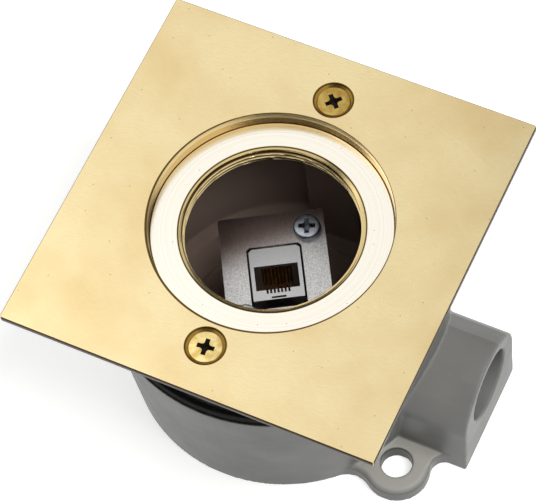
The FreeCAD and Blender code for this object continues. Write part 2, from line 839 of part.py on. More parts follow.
def make_jack_housing():
    housing = jack_body("jack_housing")
    half = "(jack_width / 2)"
    face = sketch_on(housing, "XY", lift="-jack_depth")
    outline(face, [
        (f"-{half}", "-jack_down"),
        (half, "-jack_down"),
        (half, "jack_up - jack_corner"),
        (f"{half} - jack_corner", "jack_up"),
        (f"jack_corner - {half}", "jack_up"),
        (f"-{half}", "jack_up - jack_corner")])
    pad(housing, face, "jack_depth")
    # catch that hooks under the bracket
    catch = sketch_on(housing, "XY", lift="-bracket_thickness")
    rectangle(catch, "-catch_width / 2", "jack_up - jack_corner", "catch_width / 2",
              "jack_up + catch_reach")
    pad(housing, catch, "catch_height", reverse=True)
    # ears for the pins of the rear covers
    for low, reach in (("-jack_down", "-jack_down + ear_width"), ("jack_up - ear_width", "jack_up")):
        for side in (1, -1):
            ear = sketch_on(housing, "XY", lift="-jack_depth")
            rectangle(ear, f"{side} * jack_width / 2 - knuckle_radius * ({side} + 1)", low,
                      f"{side} * jack_width / 2 - knuckle_radius * ({side} - 1)", reach)
            pad(housing, ear, "-jack_depth - ear_foot", reverse=True)
    pins = sketch_on(housing, "XZ", lift="-jack_up")
    for side in (1, -1):
        circle(pins, "pin_radius", f"{side} * hinge_x", "hinge_z")
    pocket(housing, pins, "jack_up + jack_down", reverse=True)
    # plug port, comb and foot slot in the face
    port = sketch_on(housing, "XY")
    rectangle(port, "-port_width / 2", "-port_down", "port_width / 2", "port_up")
    pocket(housing, port, "port_depth")
    comb = sketch_on(housing, "XY")
    for tooth in range(int(number("comb_count"))):
        centre = f"({tooth} - (comb_count - 1) / 2) * contact_pitch"
        rectangle(comb, f"{centre} - comb_slot / 2", "-port_down - comb_height",
                  f"{centre} + comb_slot / 2", "-port_down + comb_slot / 2")
    pocket(housing, comb, "comb_depth")
    foot_slot = sketch_on(housing, "XY")
    slot_low = "(foot_slot_rise - jack_down)"
    rectangle(foot_slot, "-foot_slot_width / 2", slot_low, "foot_slot_width / 2",
              f"{slot_low} + foot_slot_height")
    pocket(housing, foot_slot, "foot_slot_depth")
    # rear cavity for the contact carrier, and the channel of the contacts behind the lip
    cavity = sketch_on(housing, "XY", lift="-jack_depth")
    rectangle(cavity, "-port_width / 2", "-carrier_down", "port_width / 2", "carrier_up")
    pocket(housing, cavity, "jack_depth - port_depth", reverse=True)
    channel = sketch_on(housing, "XY", lift="-jack_depth")
    rectangle(channel, "-channel_width / 2", "port_up - contact_thickness", "channel_width / 2",
              "port_up + channel_height")
    pocket(housing, channel, "jack_depth - lip_depth", reverse=True)
    return housing


def contact_places():
    return [f"({index} - (contact_count - 1) / 2) * contact_pitch"
            for index in range(int(number("contact_count")))]


def make_contact_carrier():
    """Moulded block behind the port, with a tongue that carries the contacts."""
    carrier = jack_body("contact_carrier")
    block = sketch_on(carrier, "XY", lift="-jack_depth")
    rectangle(block, "-port_width / 2", "-carrier_down", "port_width / 2", "carrier_up")
    pad(carrier, block, "jack_depth - port_depth")
    tongue = sketch_on(carrier, "XY", lift="-port_depth")
    rectangle(tongue, "-channel_width / 2", "contact_top", "channel_width / 2",
              "port_up + channel_height")
    pad(carrier, tongue, "port_depth - lip_depth")
    slots = sketch_on(carrier, "XY", lift="-port_depth")
    for place in contact_places():
        rectangle(slots, f"{place} - contact_width / 2",
                  "contact_top - contact_thickness",
                  f"{place} + contact_width / 2", "contact_top")
    pocket(carrier, slots)
    return carrier


def make_contact_tails():
    """Fixed ends of the eight contacts, from the front bend back to the circuit board."""
    tails = jack_body("contact_tails")
    section = sketch_on(tails, "XY", lift="-jack_depth - board_thickness")
    for place in contact_places():
        rectangle(section, f"{place} - contact_width / 2",
                  "contact_top - contact_thickness",
                  f"{place} + contact_width / 2", "contact_top")
    pad(tails, section, "jack_depth + board_thickness - spring_start")
    return tails


def make_contact_springs():
    """Free ends of the eight contacts, which slope down into the port."""
    springs = jack_body("contact_springs")
    top = "(contact_top - contact_thickness - spring_top_gap)"
    for place in contact_places():
        strip = sketch_on(springs, "YZ", lift=place)
        outline(strip, [
            (top, "-spring_start"),
            (f"{top} - contact_thickness", "-spring_start"),
            (f"{top} - spring_fall - contact_thickness", "-spring_start - spring_run"),
            (f"{top} - spring_fall", "-spring_start - spring_run")])
        pad(springs, strip, "contact_width", both_ways=True)
    return springs


def make_jack_board():
    board = jack_body("jack_board")
    blank = sketch_on(board, "XY", lift="-jack_depth")
    rectangle(blank, "-board_half_width", "-board_down", "board_half_width", "board_up")
    for place in contact_places():
        rectangle(blank, f"{place} - contact_width / 2",
                  "contact_top - contact_thickness",
                  f"{place} + contact_width / 2", "contact_top")
    pad(board, blank, "board_thickness", reverse=True)
    return board


def blade_places():
    """Centres (side, y) of the eight cable blades, four on each side."""
    middle = "(terminal_up - terminal_down) / 2"
    return [(side, f"({middle} + ({step} - (blades_per_side - 1) / 2) * terminal_pitch)")
            for side in (1, -1) for step in range(int(number("blades_per_side")))]


def make_terminal_block():
    block = jack_body("terminal_block")
    plan = sketch_on(block, "XY", lift="-jack_depth - board_thickness")
    rectangle(plan, "-board_half_width", "-terminal_down", "board_half_width", "terminal_up")
    pad(block, plan, "terminal_height", reverse=True)
    foot = "-jack_depth - board_thickness - terminal_height"
    wires = sketch_on(block, "XY", lift=foot)
    blades = sketch_on(block, "XY", lift=foot)
    for side, y in blade_places():
        edges = sorted([f"{side} * board_half_width", f"{side} * (board_half_width - wire_slot_reach)"],
                       key=number)
        rectangle(wires, edges[0], f"{y} - wire_slot / 2", edges[1], f"{y} + wire_slot / 2")
        rectangle(blades, f"{side} * blade_x - blade_thickness / 2", f"{y} - blade_width / 2",
                  f"{side} * blade_x + blade_thickness / 2", f"{y} + blade_width / 2")
    pocket(block, wires, "wire_slot_height", reverse=True)
    pocket(block, blades, "terminal_height", reverse=True)
    return block


def make_cable_blades():
    """Insulation displacement blades standing on the board in the terminal block."""
    blades = jack_body("cable_blades")
    plan = sketch_on(blades, "XY", lift="-jack_depth - board_thickness")
    foot = "-jack_depth - board_thickness - terminal_height + blade_thickness"
    slits = sketch_on(blades, "XY", lift=foot)
    for side, y in blade_places():
        rectangle(plan, f"{side} * blade_x - blade_thickness / 2", f"{y} - blade_width / 2",
                  f"{side} * blade_x + blade_thickness / 2", f"{y} + blade_width / 2")
        rectangle(slits, f"{side} * blade_x - blade_thickness", f"{y} - blade_thickness / 2",
                  f"{side} * blade_x + blade_thickness", f"{y} + blade_thickness / 2")
    pad(blades, plan, "terminal_height - blade_thickness", reverse=True)
    pocket(blades, slits, "wire_slot_height - blade_thickness", reverse=True)
    return blades


def make_rear_cover(name, side):
    """Half of the two-leaf rear cover: a tray that swings on a pin beside the housing."""
    cover = jack_body(name)
    back = "(hinge_z - cover_length)"
    low_y, high_y = "(-jack_down + ear_width + ear_gap)", "(jack_up - ear_width - ear_gap)"
    depth = f"({high_y} - {low_y})"
    tray = sketch_on(cover, "XZ", lift=f"-{high_y}")
    outer, inner = f"{side} * jack_width / 2", f"{side} * cover_split / 2"
    tray_top = "(ear_foot - ear_gap)"
    outline(tray, [(outer, "hinge_z"), (outer, back), (inner, back), (inner, tray_top),
                   (f"{side} * hinge_x", tray_top), (f"{side} * hinge_x", "hinge_z")])
    pad(cover, tray, depth)
    hollow = sketch_on(cover, "XZ", lift=f"-{high_y} + cover_wall")
    outline(hollow, [
        (f"{side} * (jack_width / 2 - cover_wall)", tray_top),
        (f"{side} * (jack_width / 2 - cover_wall)", f"{back} + cover_wall"),
        (f"-{side} * cover_wall", f"{back} + cover_wall"),
        (f"-{side} * cover_wall", "hinge_z + knuckle_radius"),
        (f"{side} * (jack_width / 2 - 2 * knuckle_radius - cover_wall)",
         "hinge_z + knuckle_radius"),
        (f"{side} * (jack_width / 2 - 2 * knuckle_radius - cover_wall)", tray_top)])
    pocket(cover, hollow, f"{depth} - 2 * cover_wall", reverse=True)
    knuckle = sketch_on(cover, "XZ", lift=f"-{high_y}")
    circle(knuckle, "knuckle_radius", f"{side} * hinge_x", "hinge_z")
    pad(cover, knuckle, depth)
    bore = sketch_on(cover, "XZ", lift=f"-{high_y}")
    circle(bore, "pin_radius + pin_gap", f"{side} * hinge_x", "hinge_z")
    pocket(cover, bore, depth, reverse=True)
    # half of the round cable outlet, open towards the other leaf
    outlet = sketch_on(cover, "XY", lift=back)
    circle(outlet, "cable_radius", "0", "(jack_up - jack_down) / 2")
    pocket(cover, outlet, "cover_wall * 2", reverse=True)
    return cover


def make_cover_pins():
    pins = jack_body("cover_pins")
    ends = sketch_on(pins, "XZ", lift="-jack_up")
    for side in (1, -1):
        circle(ends, "pin_radius", f"{side} * hinge_x", "hinge_z")
    pad(pins, ends, "jack_up + jack_down")
    return pins


def make_latch_spring():
    """Spring strip beside the housing whose hook holds the jack under the bracket."""
    latch = jack_body("latch_spring")
    root = "(-jack_down - latch_root_gap)"
    tip = f"({root} - latch_lean)"
    profile = sketch_on(latch, "YZ")
    outline(profile, [
        (root, "-latch_root_depth"),
        (root, "-latch_root_depth + latch_thickness * 3"),
        (f"{tip} + latch_thickness", "-bracket_thickness - latch_hook_depth - latch_hook_height"),
        (f"{tip} + latch_thickness", "-latch_thickness * 2"),
        (tip, "-latch_thickness * 2"),
        (tip, "-latch_hook_depth"),
        (f"{tip} - latch_hook_reach", "-latch_hook_depth"),
        (tip, "-bracket_thickness - latch_hook_depth - latch_hook_height"),
        (f"{root} - latch_thickness", "-latch_root_depth + latch_thickness * 3"),
        (f"{root} - latch_thickness", "-latch_root_depth")])
    pad(latch, profile, "latch_width", both_ways=True)
    return latch


# Build and write

makers = [
    make_cover_plate, make_recess_ring, make_ring_seal, make_plate_screws,
    make_extension_collar, make_rim_gasket, make_box_body,
    make_jack_bracket, make_bracket_standoffs, make_bracket_screws,
    make_earth_washer, make_earth_screw,
    make_jack_housing, make_contact_carrier, make_contact_tails, make_contact_springs,
    make_jack_board, make_terminal_block, make_cable_blades,
    make_cover_pins, make_latch_spring,
]
for maker in makers:
    keep(maker())
keep(make_rear_cover("rear_cover_right", 1))
keep(make_rear_cover("rear_cover_left", -1))
doc.recompute()

for item in doc.Objects:
    if "Invalid" in item.State or "Error" in item.State:
        raise RuntimeError(f"{item.Name} in {item.State}")
for piece in pieces:
    if piece.Shape.isNull() or not piece.Shape.isValid():
        raise RuntimeError(f"{piece.Label} has no valid shape")

os.makedirs("parts", exist_ok=True)
for piece in pieces:
    piece.Shape.exportStep(f"parts/{piece.Label}.step")
    print(f"{piece.Label:20s} solids {len(piece.Shape.Solids)}  volume {piece.Shape.Volume:10.2f}")
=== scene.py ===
import math

import bmesh
import bpy
from mathutils import Matrix, Vector


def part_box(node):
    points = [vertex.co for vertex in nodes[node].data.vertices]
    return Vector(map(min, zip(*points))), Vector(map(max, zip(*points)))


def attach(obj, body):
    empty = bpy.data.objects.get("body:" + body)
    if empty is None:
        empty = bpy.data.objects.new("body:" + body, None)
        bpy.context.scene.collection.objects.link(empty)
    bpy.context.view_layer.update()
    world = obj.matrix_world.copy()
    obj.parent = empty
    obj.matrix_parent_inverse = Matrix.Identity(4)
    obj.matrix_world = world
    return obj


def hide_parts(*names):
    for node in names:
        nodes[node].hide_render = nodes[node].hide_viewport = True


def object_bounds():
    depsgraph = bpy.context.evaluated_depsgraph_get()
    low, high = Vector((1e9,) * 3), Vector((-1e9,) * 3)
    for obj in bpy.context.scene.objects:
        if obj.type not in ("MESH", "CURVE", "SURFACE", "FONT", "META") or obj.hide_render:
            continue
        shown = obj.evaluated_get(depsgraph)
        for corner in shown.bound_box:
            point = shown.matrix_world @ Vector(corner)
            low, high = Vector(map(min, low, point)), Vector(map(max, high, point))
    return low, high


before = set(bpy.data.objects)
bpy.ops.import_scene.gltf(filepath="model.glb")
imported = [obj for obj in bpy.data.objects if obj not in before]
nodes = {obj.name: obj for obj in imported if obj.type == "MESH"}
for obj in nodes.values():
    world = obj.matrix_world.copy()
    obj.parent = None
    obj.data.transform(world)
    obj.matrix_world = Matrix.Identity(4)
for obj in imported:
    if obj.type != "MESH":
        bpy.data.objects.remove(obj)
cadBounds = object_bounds()
mm = 0.001

# the share, the two colours and the result on a Mix node, and its two ways of mixing colours
shareIn, underIn, overIn, mixedOut = 0, 6, 7, 2
covering = {"data_type": "RGBA"}
tinting = {"data_type": "RGBA", "blend_type": "MULTIPLY", shareIn: 1}


# Small helpers

def linearColour(code):
    # sRGB hex to the linear values that shaders work in
    parts = [int(code[start:start + 2], 16) / 255 for start in (0, 2, 4)]
    return (*[part / 12.92 if part <= 0.04045 else ((part + 0.055) / 1.055) ** 2.4 for part in parts], 1)


def perMm(size):
    # texture scale at which one feature is this many millimetres wide
    return 1000 / size


def addNode(tree, kind, settings, links):
    # a setting goes to the node itself, or else to its socket of that name or number
    node = tree.nodes.new("ShaderNode" + kind)
    for key, value in settings.items():
        if isinstance(key, str) and hasattr(node, key):
            setattr(node, key, value)
        else:
            node.inputs[key].default_value = value
    for key, source in links.items():
        tree.links.new(source, node.inputs[key])
    return node


def newMaterial(name, settings):
    # a material with the shader's plain numbers set, and the place on the object that its patterns follow
    material = bpy.data.materials.new(name)
    material.use_nodes = True
    tree = material.node_tree
    shader = tree.nodes["Principled BSDF"]
    for key, value in settings.items():
        shader.inputs[key].default_value = value
    return material, tree, shader, addNode(tree, "TexCoord", {}, {})


def feed(tree, shader, sources):
    for key, source in sources.items():
        tree.links.new(source, shader.inputs[key])


def setRamp(ramp, stops):
    # stops are (place, hex colour)
    elements = ramp.color_ramp.elements
    while len(elements) < len(stops):
        elements.new(0.5)
    for element, (place, code) in zip(elements, stops):
        element.position = place
        element.color = linearColour(code)


def settle(piece):
    # bake the piece's modifiers into its mesh
    graph = bpy.context.evaluated_depsgraph_get()
    mesh = bpy.data.meshes.new_from_object(piece.evaluated_get(graph))
    piece.modifiers.clear()
    piece.data = mesh


def newPiece(name, work, material):
    bmesh.ops.recalc_face_normals(work, faces=work.faces)
    mesh = bpy.data.meshes.new(name)
    work.to_mesh(mesh)
    work.free()
    mesh.materials.append(material)
    piece = bpy.data.objects.new(name, mesh)
    bpy.context.scene.collection.objects.link(piece)
    return piece


def smooth(piece, angle):
    piece.data.shade_smooth()
    piece.data.set_sharp_from_angle(angle=math.radians(angle))


def roundEdges(piece, width):
    bevel = piece.modifiers.new("edge", "BEVEL")
    bevel.width = width * mm
    bevel.segments = 2
    bevel.limit_method = "ANGLE"
    bevel.angle_limit = math.radians(35)
    bevel.harden_normals = True


def cutAway(piece, cutter):
    cut = piece.modifiers.new("cut", "BOOLEAN")
    cut.operation = "DIFFERENCE"
    cut.solver = "EXACT"
    cut.material_mode = "TRANSFER"
    cut.object = cutter
    settle(piece)
    bpy.data.objects.remove(cutter)


def seat(piece, body, replaced=None):
    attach(piece, body)
    if replaced:
        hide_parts(*replaced)


def joinLoops(work, upper, lower):
    # a band of four-sided faces between two closed loops of points
    for index in range(len(upper)):
        after = (index + 1) % len(upper)
        work.faces.new([upper[index], upper[after], lower[after], lower[index]])


def threadShare(angle, height, pitch):
    # 0 on a thread's crest and 1 in its root, for a 60 degree thread with flats
    crestFlat, flank = 0.14, 0.62
    turn = (height / pitch - angle / math.tau) % 1
    slope = abs(turn - 0.5) * 2
    return min(max((slope - crestFlat) / flank, 0), 1)


def turnedShape(work, profile, centre, steps, shift, closed=False):
    # turn a profile of (radius, height, share) round a vertical line; shift(angle, height) times the share
    # is added to the radius, and a radius of 0 makes one point
    rows = []
    for radius, height, share in profile:
        count = steps if radius else 1
        row = []
        for step in range(count):
            angle = math.tau * step / steps
            reach = radius + (share * shift(angle, height) if share else 0)
            row.append(work.verts.new(((centre[0] + reach * math.cos(angle)) * mm,
                                       (centre[1] + reach * math.sin(angle)) * mm, height * mm)))
        rows.append(row)
    pairs = list(zip(rows, rows[1:]))
    if closed:
        pairs.append((rows[-1], rows[0]))
    for low, high in pairs:
        for step in range(steps):
            corners = [low[step % len(low)], low[(step + 1) % len(low)],
                       high[(step + 1) % len(high)], high[step % len(high)]]
            corners = list(dict.fromkeys(corners))
            if len(corners) > 2:
                work.faces.new(corners)


def solidBoxes(nodeName):
    # lowest and highest corner of each separate solid in a CAD node, in millimetres
    work = bmesh.new()
    work.from_mesh(nodes[nodeName].data)
    bmesh.ops.remove_doubles(work, verts=work.verts, dist=mm / 500)
    waiting = set(work.verts)
    boxes = []
    while waiting:
        edge = [waiting.pop()]
        found = []
        while edge:
            vert = edge.pop()
            found.append(vert.co / mm)
            for link in vert.link_edges:
                other = link.other_vert(vert)
                if other in waiting:
                    waiting.remove(other)
                    edge.append(other)
        boxes.append([Vector(pick(spot[axis] for spot in found) for axis in range(3)) for pick in (min, max)])
    work.free()
    return sorted(boxes, key=lambda box: tuple(round(value, 3) for value in box[0]))


# Materials: lengths are in millimetres, and roughness runs from shiny to dull

def linishedBrass():
    # yellow brass sheet rubbed on a fine belt: satin, with faint scratches and a cloudy sheen; the real scratches
    # are finer, and are drawn as wide as they need to show
    look = {"face": "efdcab", "stainAndShade": "e3c78f", "stainMost": 0.75, "cloud": 21, "grainLong": 2.6,
            "grainWide": 0.3, "grainTurn": 38, "grainDeep": 0.02, "speck": "6b4c22", "speckCell": 15,
            "speckSize": 0.22, "edgeShade": "281804", "edgeShadeFrom": 54.78, "edgeShadeBlend": 0.06,
            "darkEdge": "604a1e", "darkEdgeTo": 34.2, "darkEdgeBlend": 0.08, "darkEdgeCentre": (0.1, 0.22),
            "screwY": 41.2, "seat": "a8925c", "seatTo": 5.15, "rimFrom": 5.45, "rimTo": 5.72, "clearFrom": 5.85,
            "seatSpan": 10, "shiny": 0.22, "dull": 0.34}
    material, tree, shader, place = newMaterial("linishedBrass", {"Metallic": 1})
    lie = addNode(tree, "Mapping", {"Rotation": (0, 0, math.radians(look["grainTurn"])), "Scale": (
        perMm(look["grainLong"]), perMm(look["grainWide"]), perMm(look["grainWide"]))},
        {"Vector": place.outputs["Object"]})
    grain = addNode(tree, "TexNoise", {"Scale": 1, "Detail": 4, "Roughness": 0.6}, {"Vector": lie.outputs[0]})
    cloud = addNode(tree, "TexNoise", {"Scale": perMm(look["cloud"]), "Detail": 2, "Roughness": 0.5},
                    {"Vector": place.outputs["Object"]})
    stainAndShade = addNode(tree, "MapRange", {"interpolation_type": "SMOOTHSTEP", "From Min": 0.3, "From Max": 0.8,
                                       "To Max": look["stainMost"]}, {"Value": cloud.outputs["Fac"]})
    face = addNode(tree, "Mix", {**covering, underIn: linearColour(look["face"]),
                                 overIn: linearColour(look["stainAndShade"])}, {shareIn: stainAndShade.outputs[0]})
    shade = addNode(tree, "MapRange", {"From Min": 0.3, "From Max": 0.7, "To Min": 0.95, "To Max": 1.04},
                    {"Value": grain.outputs["Fac"]})
    grained = addNode(tree, "Mix", tinting, {underIn: face.outputs[mixedOut], overIn: shade.outputs[0]})
    cells = addNode(tree, "TexVoronoi", {"voronoi_dimensions": "2D", "Scale": perMm(look["speckCell"])},
                    {"Vector": place.outputs["Object"]})
    speck = addNode(tree, "MapRange", {"From Min": look["speckSize"] / look["speckCell"], "From Max": 0},
                    {"Value": cells.outputs["Distance"]})
    spotted = addNode(tree, "Mix", {**covering, overIn: linearColour(look["speck"])},
                      {shareIn: speck.outputs[0], underIn: grained.outputs[mixedOut]})
    # painted reflection: the sheared outer edges are painted dark brown, standing in for the shaded floor they reflect
    across = addNode(tree, "VectorMath", {"operation": "ABSOLUTE"}, {0: place.outputs["Object"]})
    parts = addNode(tree, "SeparateXYZ", {}, {0: across.outputs[0]})
    reach = addNode(tree, "Math", {"operation": "MAXIMUM"}, {0: parts.outputs["X"], 1: parts.outputs["Y"]})
    edgeShadeShare = addNode(tree, "MapRange", {"From Min": look["edgeShadeFrom"] * mm,
                                     "From Max": (look["edgeShadeFrom"] + look["edgeShadeBlend"]) * mm},
                  {"Value": reach.outputs[0]})
    edgeShade = addNode(tree, "Mix", {**covering, overIn: linearColour(look["edgeShade"])},
                      {shareIn: edgeShadeShare.outputs[0], underIn: spotted.outputs[mixedOut]})
    # the edge of the round opening is darker, and wider on one side than on the other
    offset = addNode(tree, "Mapping", {"Location": (look["darkEdgeCentre"][0] * mm, look["darkEdgeCentre"][1] * mm, 0),
                                       "Scale": (1, 1, 0)}, {"Vector": place.outputs["Object"]})
    around = addNode(tree, "VectorMath", {"operation": "LENGTH"}, {0: offset.outputs[0]})
    nearEdge = addNode(tree, "MapRange", {"From Min": (look["darkEdgeTo"] + look["darkEdgeBlend"]) * mm,
                                          "From Max": look["darkEdgeTo"] * mm}, {"Value": around.outputs["Value"]})
    facing = addNode(tree, "SeparateXYZ", {}, {0: place.outputs["Normal"]})
    upward = addNode(tree, "MapRange", {"From Min": 0.15, "From Max": 0.4}, {"Value": facing.outputs["Z"]})
    onTop = addNode(tree, "Math", {"operation": "MULTIPLY"}, {0: nearEdge.outputs[0], 1: upward.outputs[0]})
    darkEdge = addNode(tree, "Mix", {**covering, overIn: linearColour(look["darkEdge"])},
                     {shareIn: onTop.outputs[0], underIn: edgeShade.outputs[mixedOut]})
    # the countersinks are golden within, with a brown rim
    toScrew = addNode(tree, "Mapping", {"Location": (0, -look["screwY"] * mm, 0), "Scale": (1, 1, 0)},
                      {"Vector": across.outputs[0]})
    apart = addNode(tree, "VectorMath", {"operation": "LENGTH"}, {0: toScrew.outputs[0]})
    fromScrew = addNode(tree, "MapRange", {"From Min": 0, "From Max": look["seatSpan"] * mm},
                        {"Value": apart.outputs["Value"]})
    sunk = addNode(tree, "ValToRGB", {}, {"Fac": fromScrew.outputs[0]})
    setRamp(sunk, [(look[key] / look["seatSpan"], colour) for key, colour in (
        ("seatTo", look["seat"]), ("rimFrom", look["darkEdge"]), ("rimTo", look["darkEdge"]), ("clearFrom", "ffffff"))])
    seated = addNode(tree, "Mix", tinting, {underIn: darkEdge.outputs[mixedOut], overIn: sunk.outputs["Color"]})
    sheen = addNode(tree, "MapRange", {"To Min": look["shiny"], "To Max": look["dull"]},
                    {"Value": cloud.outputs["Fac"]})
    bump = addNode(tree, "Bump", {"Strength": 0.12, "Distance": look["grainDeep"] * mm},
                   {"Height": grain.outputs["Fac"]})
    feed(tree, shader, {"Base Color": seated.outputs[mixedOut], "Roughness": sheen.outputs[0],
                        "Normal": bump.outputs[0]})
    return material


def turnedBrass():
    # free-cutting brass bar faced and bored on a lathe: paler than the sheet, with rings from the tool; the wall
    # is less polished than the floor, the bore's edge and the thread's roots are darker, and the foot of the wall
    # carries a painted shadow. The real tool rings are finer, and are drawn as wide as they need to show
    look = {"face": "fffbf0", "deep": "f3e6c6", "deepMost": 0.5, "toolStep": 0.42, "toolDeep": 0.02,
            "speck": "7d6a40", "speckCell": 13, "speckSize": 0.2, "shiny": 0.14, "dull": 0.24}
    # each stain, and the painted shadow, covers the ones before it, between the radii and heights where it starts and
    # is full
    stainsAndShadows = [
        {"colour": "dab978", "radius": (33.2, 33.3)},  # wall
        # painted shadow: the wall's foot is darkened where shade falls into the groove
        {"colour": "6b4e20", "radius": (33.2, 33.3), "height": (69.06, 68.96)},  # wall's foot
        {"colour": "ecd59e", "radius": (26, 25.95)},  # bore
        {"colour": "38270c", "radius": (26, 25.95), "root": (24.38, 24.75), "height": (68.2, 68)},  # thread's roots
        {"colour": "dcc48c", "radius": (26, 25.95), "height": (68.25, 68.4)},  # bore's bevel
        {"colour": "5c4a20", "radius": (25.5, 25.7), "rim": (26.07, 25.99)}]  # bore's edge
    material, tree, shader, place = newMaterial("turnedBrass", {"Metallic": 1})
    flat = addNode(tree, "VectorMath", {"operation": "MULTIPLY", 1: (1, 1, 0)}, {0: place.outputs["Object"]})
    reach = addNode(tree, "VectorMath", {"operation": "LENGTH"}, {0: flat.outputs[0]})
    parts = addNode(tree, "SeparateXYZ", {}, {0: place.outputs["Object"]})
    rings = addNode(tree, "TexNoise", {"noise_dimensions": "1D", "Scale": perMm(look["toolStep"]), "Detail": 3,
                                       "Roughness": 0.7}, {"W": reach.outputs["Value"]})
    tint = addNode(tree, "MapRange", {"From Min": 0.35, "From Max": 0.75, "To Max": look["deepMost"]},
                   {"Value": rings.outputs["Fac"]})
    face = addNode(tree, "Mix", {**covering, underIn: linearColour(look["face"]),
                                 overIn: linearColour(look["deep"])}, {shareIn: tint.outputs[0]})
    for stainAndShade in stainsAndShadows:
        share = None
        for key in ("radius", "rim", "root", "height"):
            if key in stainAndShade:
                start, full = stainAndShade[key]
                source = parts.outputs["Z"] if key == "height" else reach.outputs["Value"]
                limit = addNode(tree, "MapRange", {"From Min": start * mm, "From Max": full * mm}, {"Value": source})
                if share:
                    limit = addNode(tree, "Math", {"operation": "MULTIPLY"},
                                    {0: share.outputs[0], 1: limit.outputs[0]})
                share = limit
        face = addNode(tree, "Mix", {**covering, overIn: linearColour(stainAndShade["colour"])},
                       {shareIn: share.outputs[0], underIn: face.outputs[mixedOut]})
    cells = addNode(tree, "TexVoronoi", {"voronoi_dimensions": "2D", "Scale": perMm(look["speckCell"])},
                    {"Vector": place.outputs["Object"]})
    speck = addNode(tree, "MapRange", {"From Min": look["speckSize"] / look["speckCell"], "From Max": 0},
                    {"Value": cells.outputs["Distance"]})
    spotted = addNode(tree, "Mix", {**covering, overIn: linearColour(look["speck"])},
                      {shareIn: speck.outputs[0], underIn: face.outputs[mixedOut]})
    sheen = addNode(tree, "MapRange", {"To Min": look["shiny"], "To Max": look["dull"]},
                    {"Value": rings.outputs["Fac"]})
    bump = addNode(tree, "Bump", {"Strength": 0.25, "Distance": look["toolDeep"] * mm},
                   {"Height": rings.outputs["Fac"]})
    feed(tree, shader, {"Base Color": spotted.outputs[mixedOut], "Roughness": sheen.outputs[0],
                        "Normal": bump.outputs[0]})
    return material


def screwBrass():
    # cold-headed brass screws, dulled in handling: mottled ochre and gold, smoother where gold
    look = {"gold": "f3de9c", "ochre": "d6b66c", "dulled": "d0c3a0", "mottle": 1.9, "dent": 0.6, "dentDeep": 0.03,
            "shiny": 0.22, "dull": 0.42}
    material, tree, shader, place = newMaterial("screwBrass", {"Metallic": 1})
    mottle = addNode(tree, "TexNoise", {"Scale": perMm(look["mottle"]), "Detail": 3, "Roughness": 0.5},
                     {"Vector": place.outputs["Object"]})
    ramp = addNode(tree, "ValToRGB", {}, {"Fac": mottle.outputs["Fac"]})
    setRamp(ramp, [(0.34, look["ochre"]), (0.62, look["gold"])])
    # the screw on the +Y side is the duller one
    parts = addNode(tree, "SeparateXYZ", {}, {0: place.outputs["Object"]})
    far = addNode(tree, "MapRange", {"From Min": 0, "From Max": mm}, {"Value": parts.outputs["Y"]})
    dulled = addNode(tree, "Mix", {**tinting, overIn: linearColour(look["dulled"])},
                     {shareIn: far.outputs[0], underIn: ramp.outputs["Color"]})
    sheen = addNode(tree, "MapRange", {"To Min": look["dull"], "To Max": look["shiny"]},
                    {"Value": mottle.outputs["Fac"]})
    dents = addNode(tree, "TexNoise", {"Scale": perMm(look["dent"]), "Detail": 2}, {"Vector": place.outputs["Object"]})
    bump = addNode(tree, "Bump", {"Strength": 0.35, "Distance": look["dentDeep"] * mm},
                   {"Height": dents.outputs["Fac"]})
    feed(tree, shader, {"Base Color": dulled.outputs[mixedOut], "Roughness": sheen.outputs[0],
                        "Normal": bump.outputs[0]})
    return material


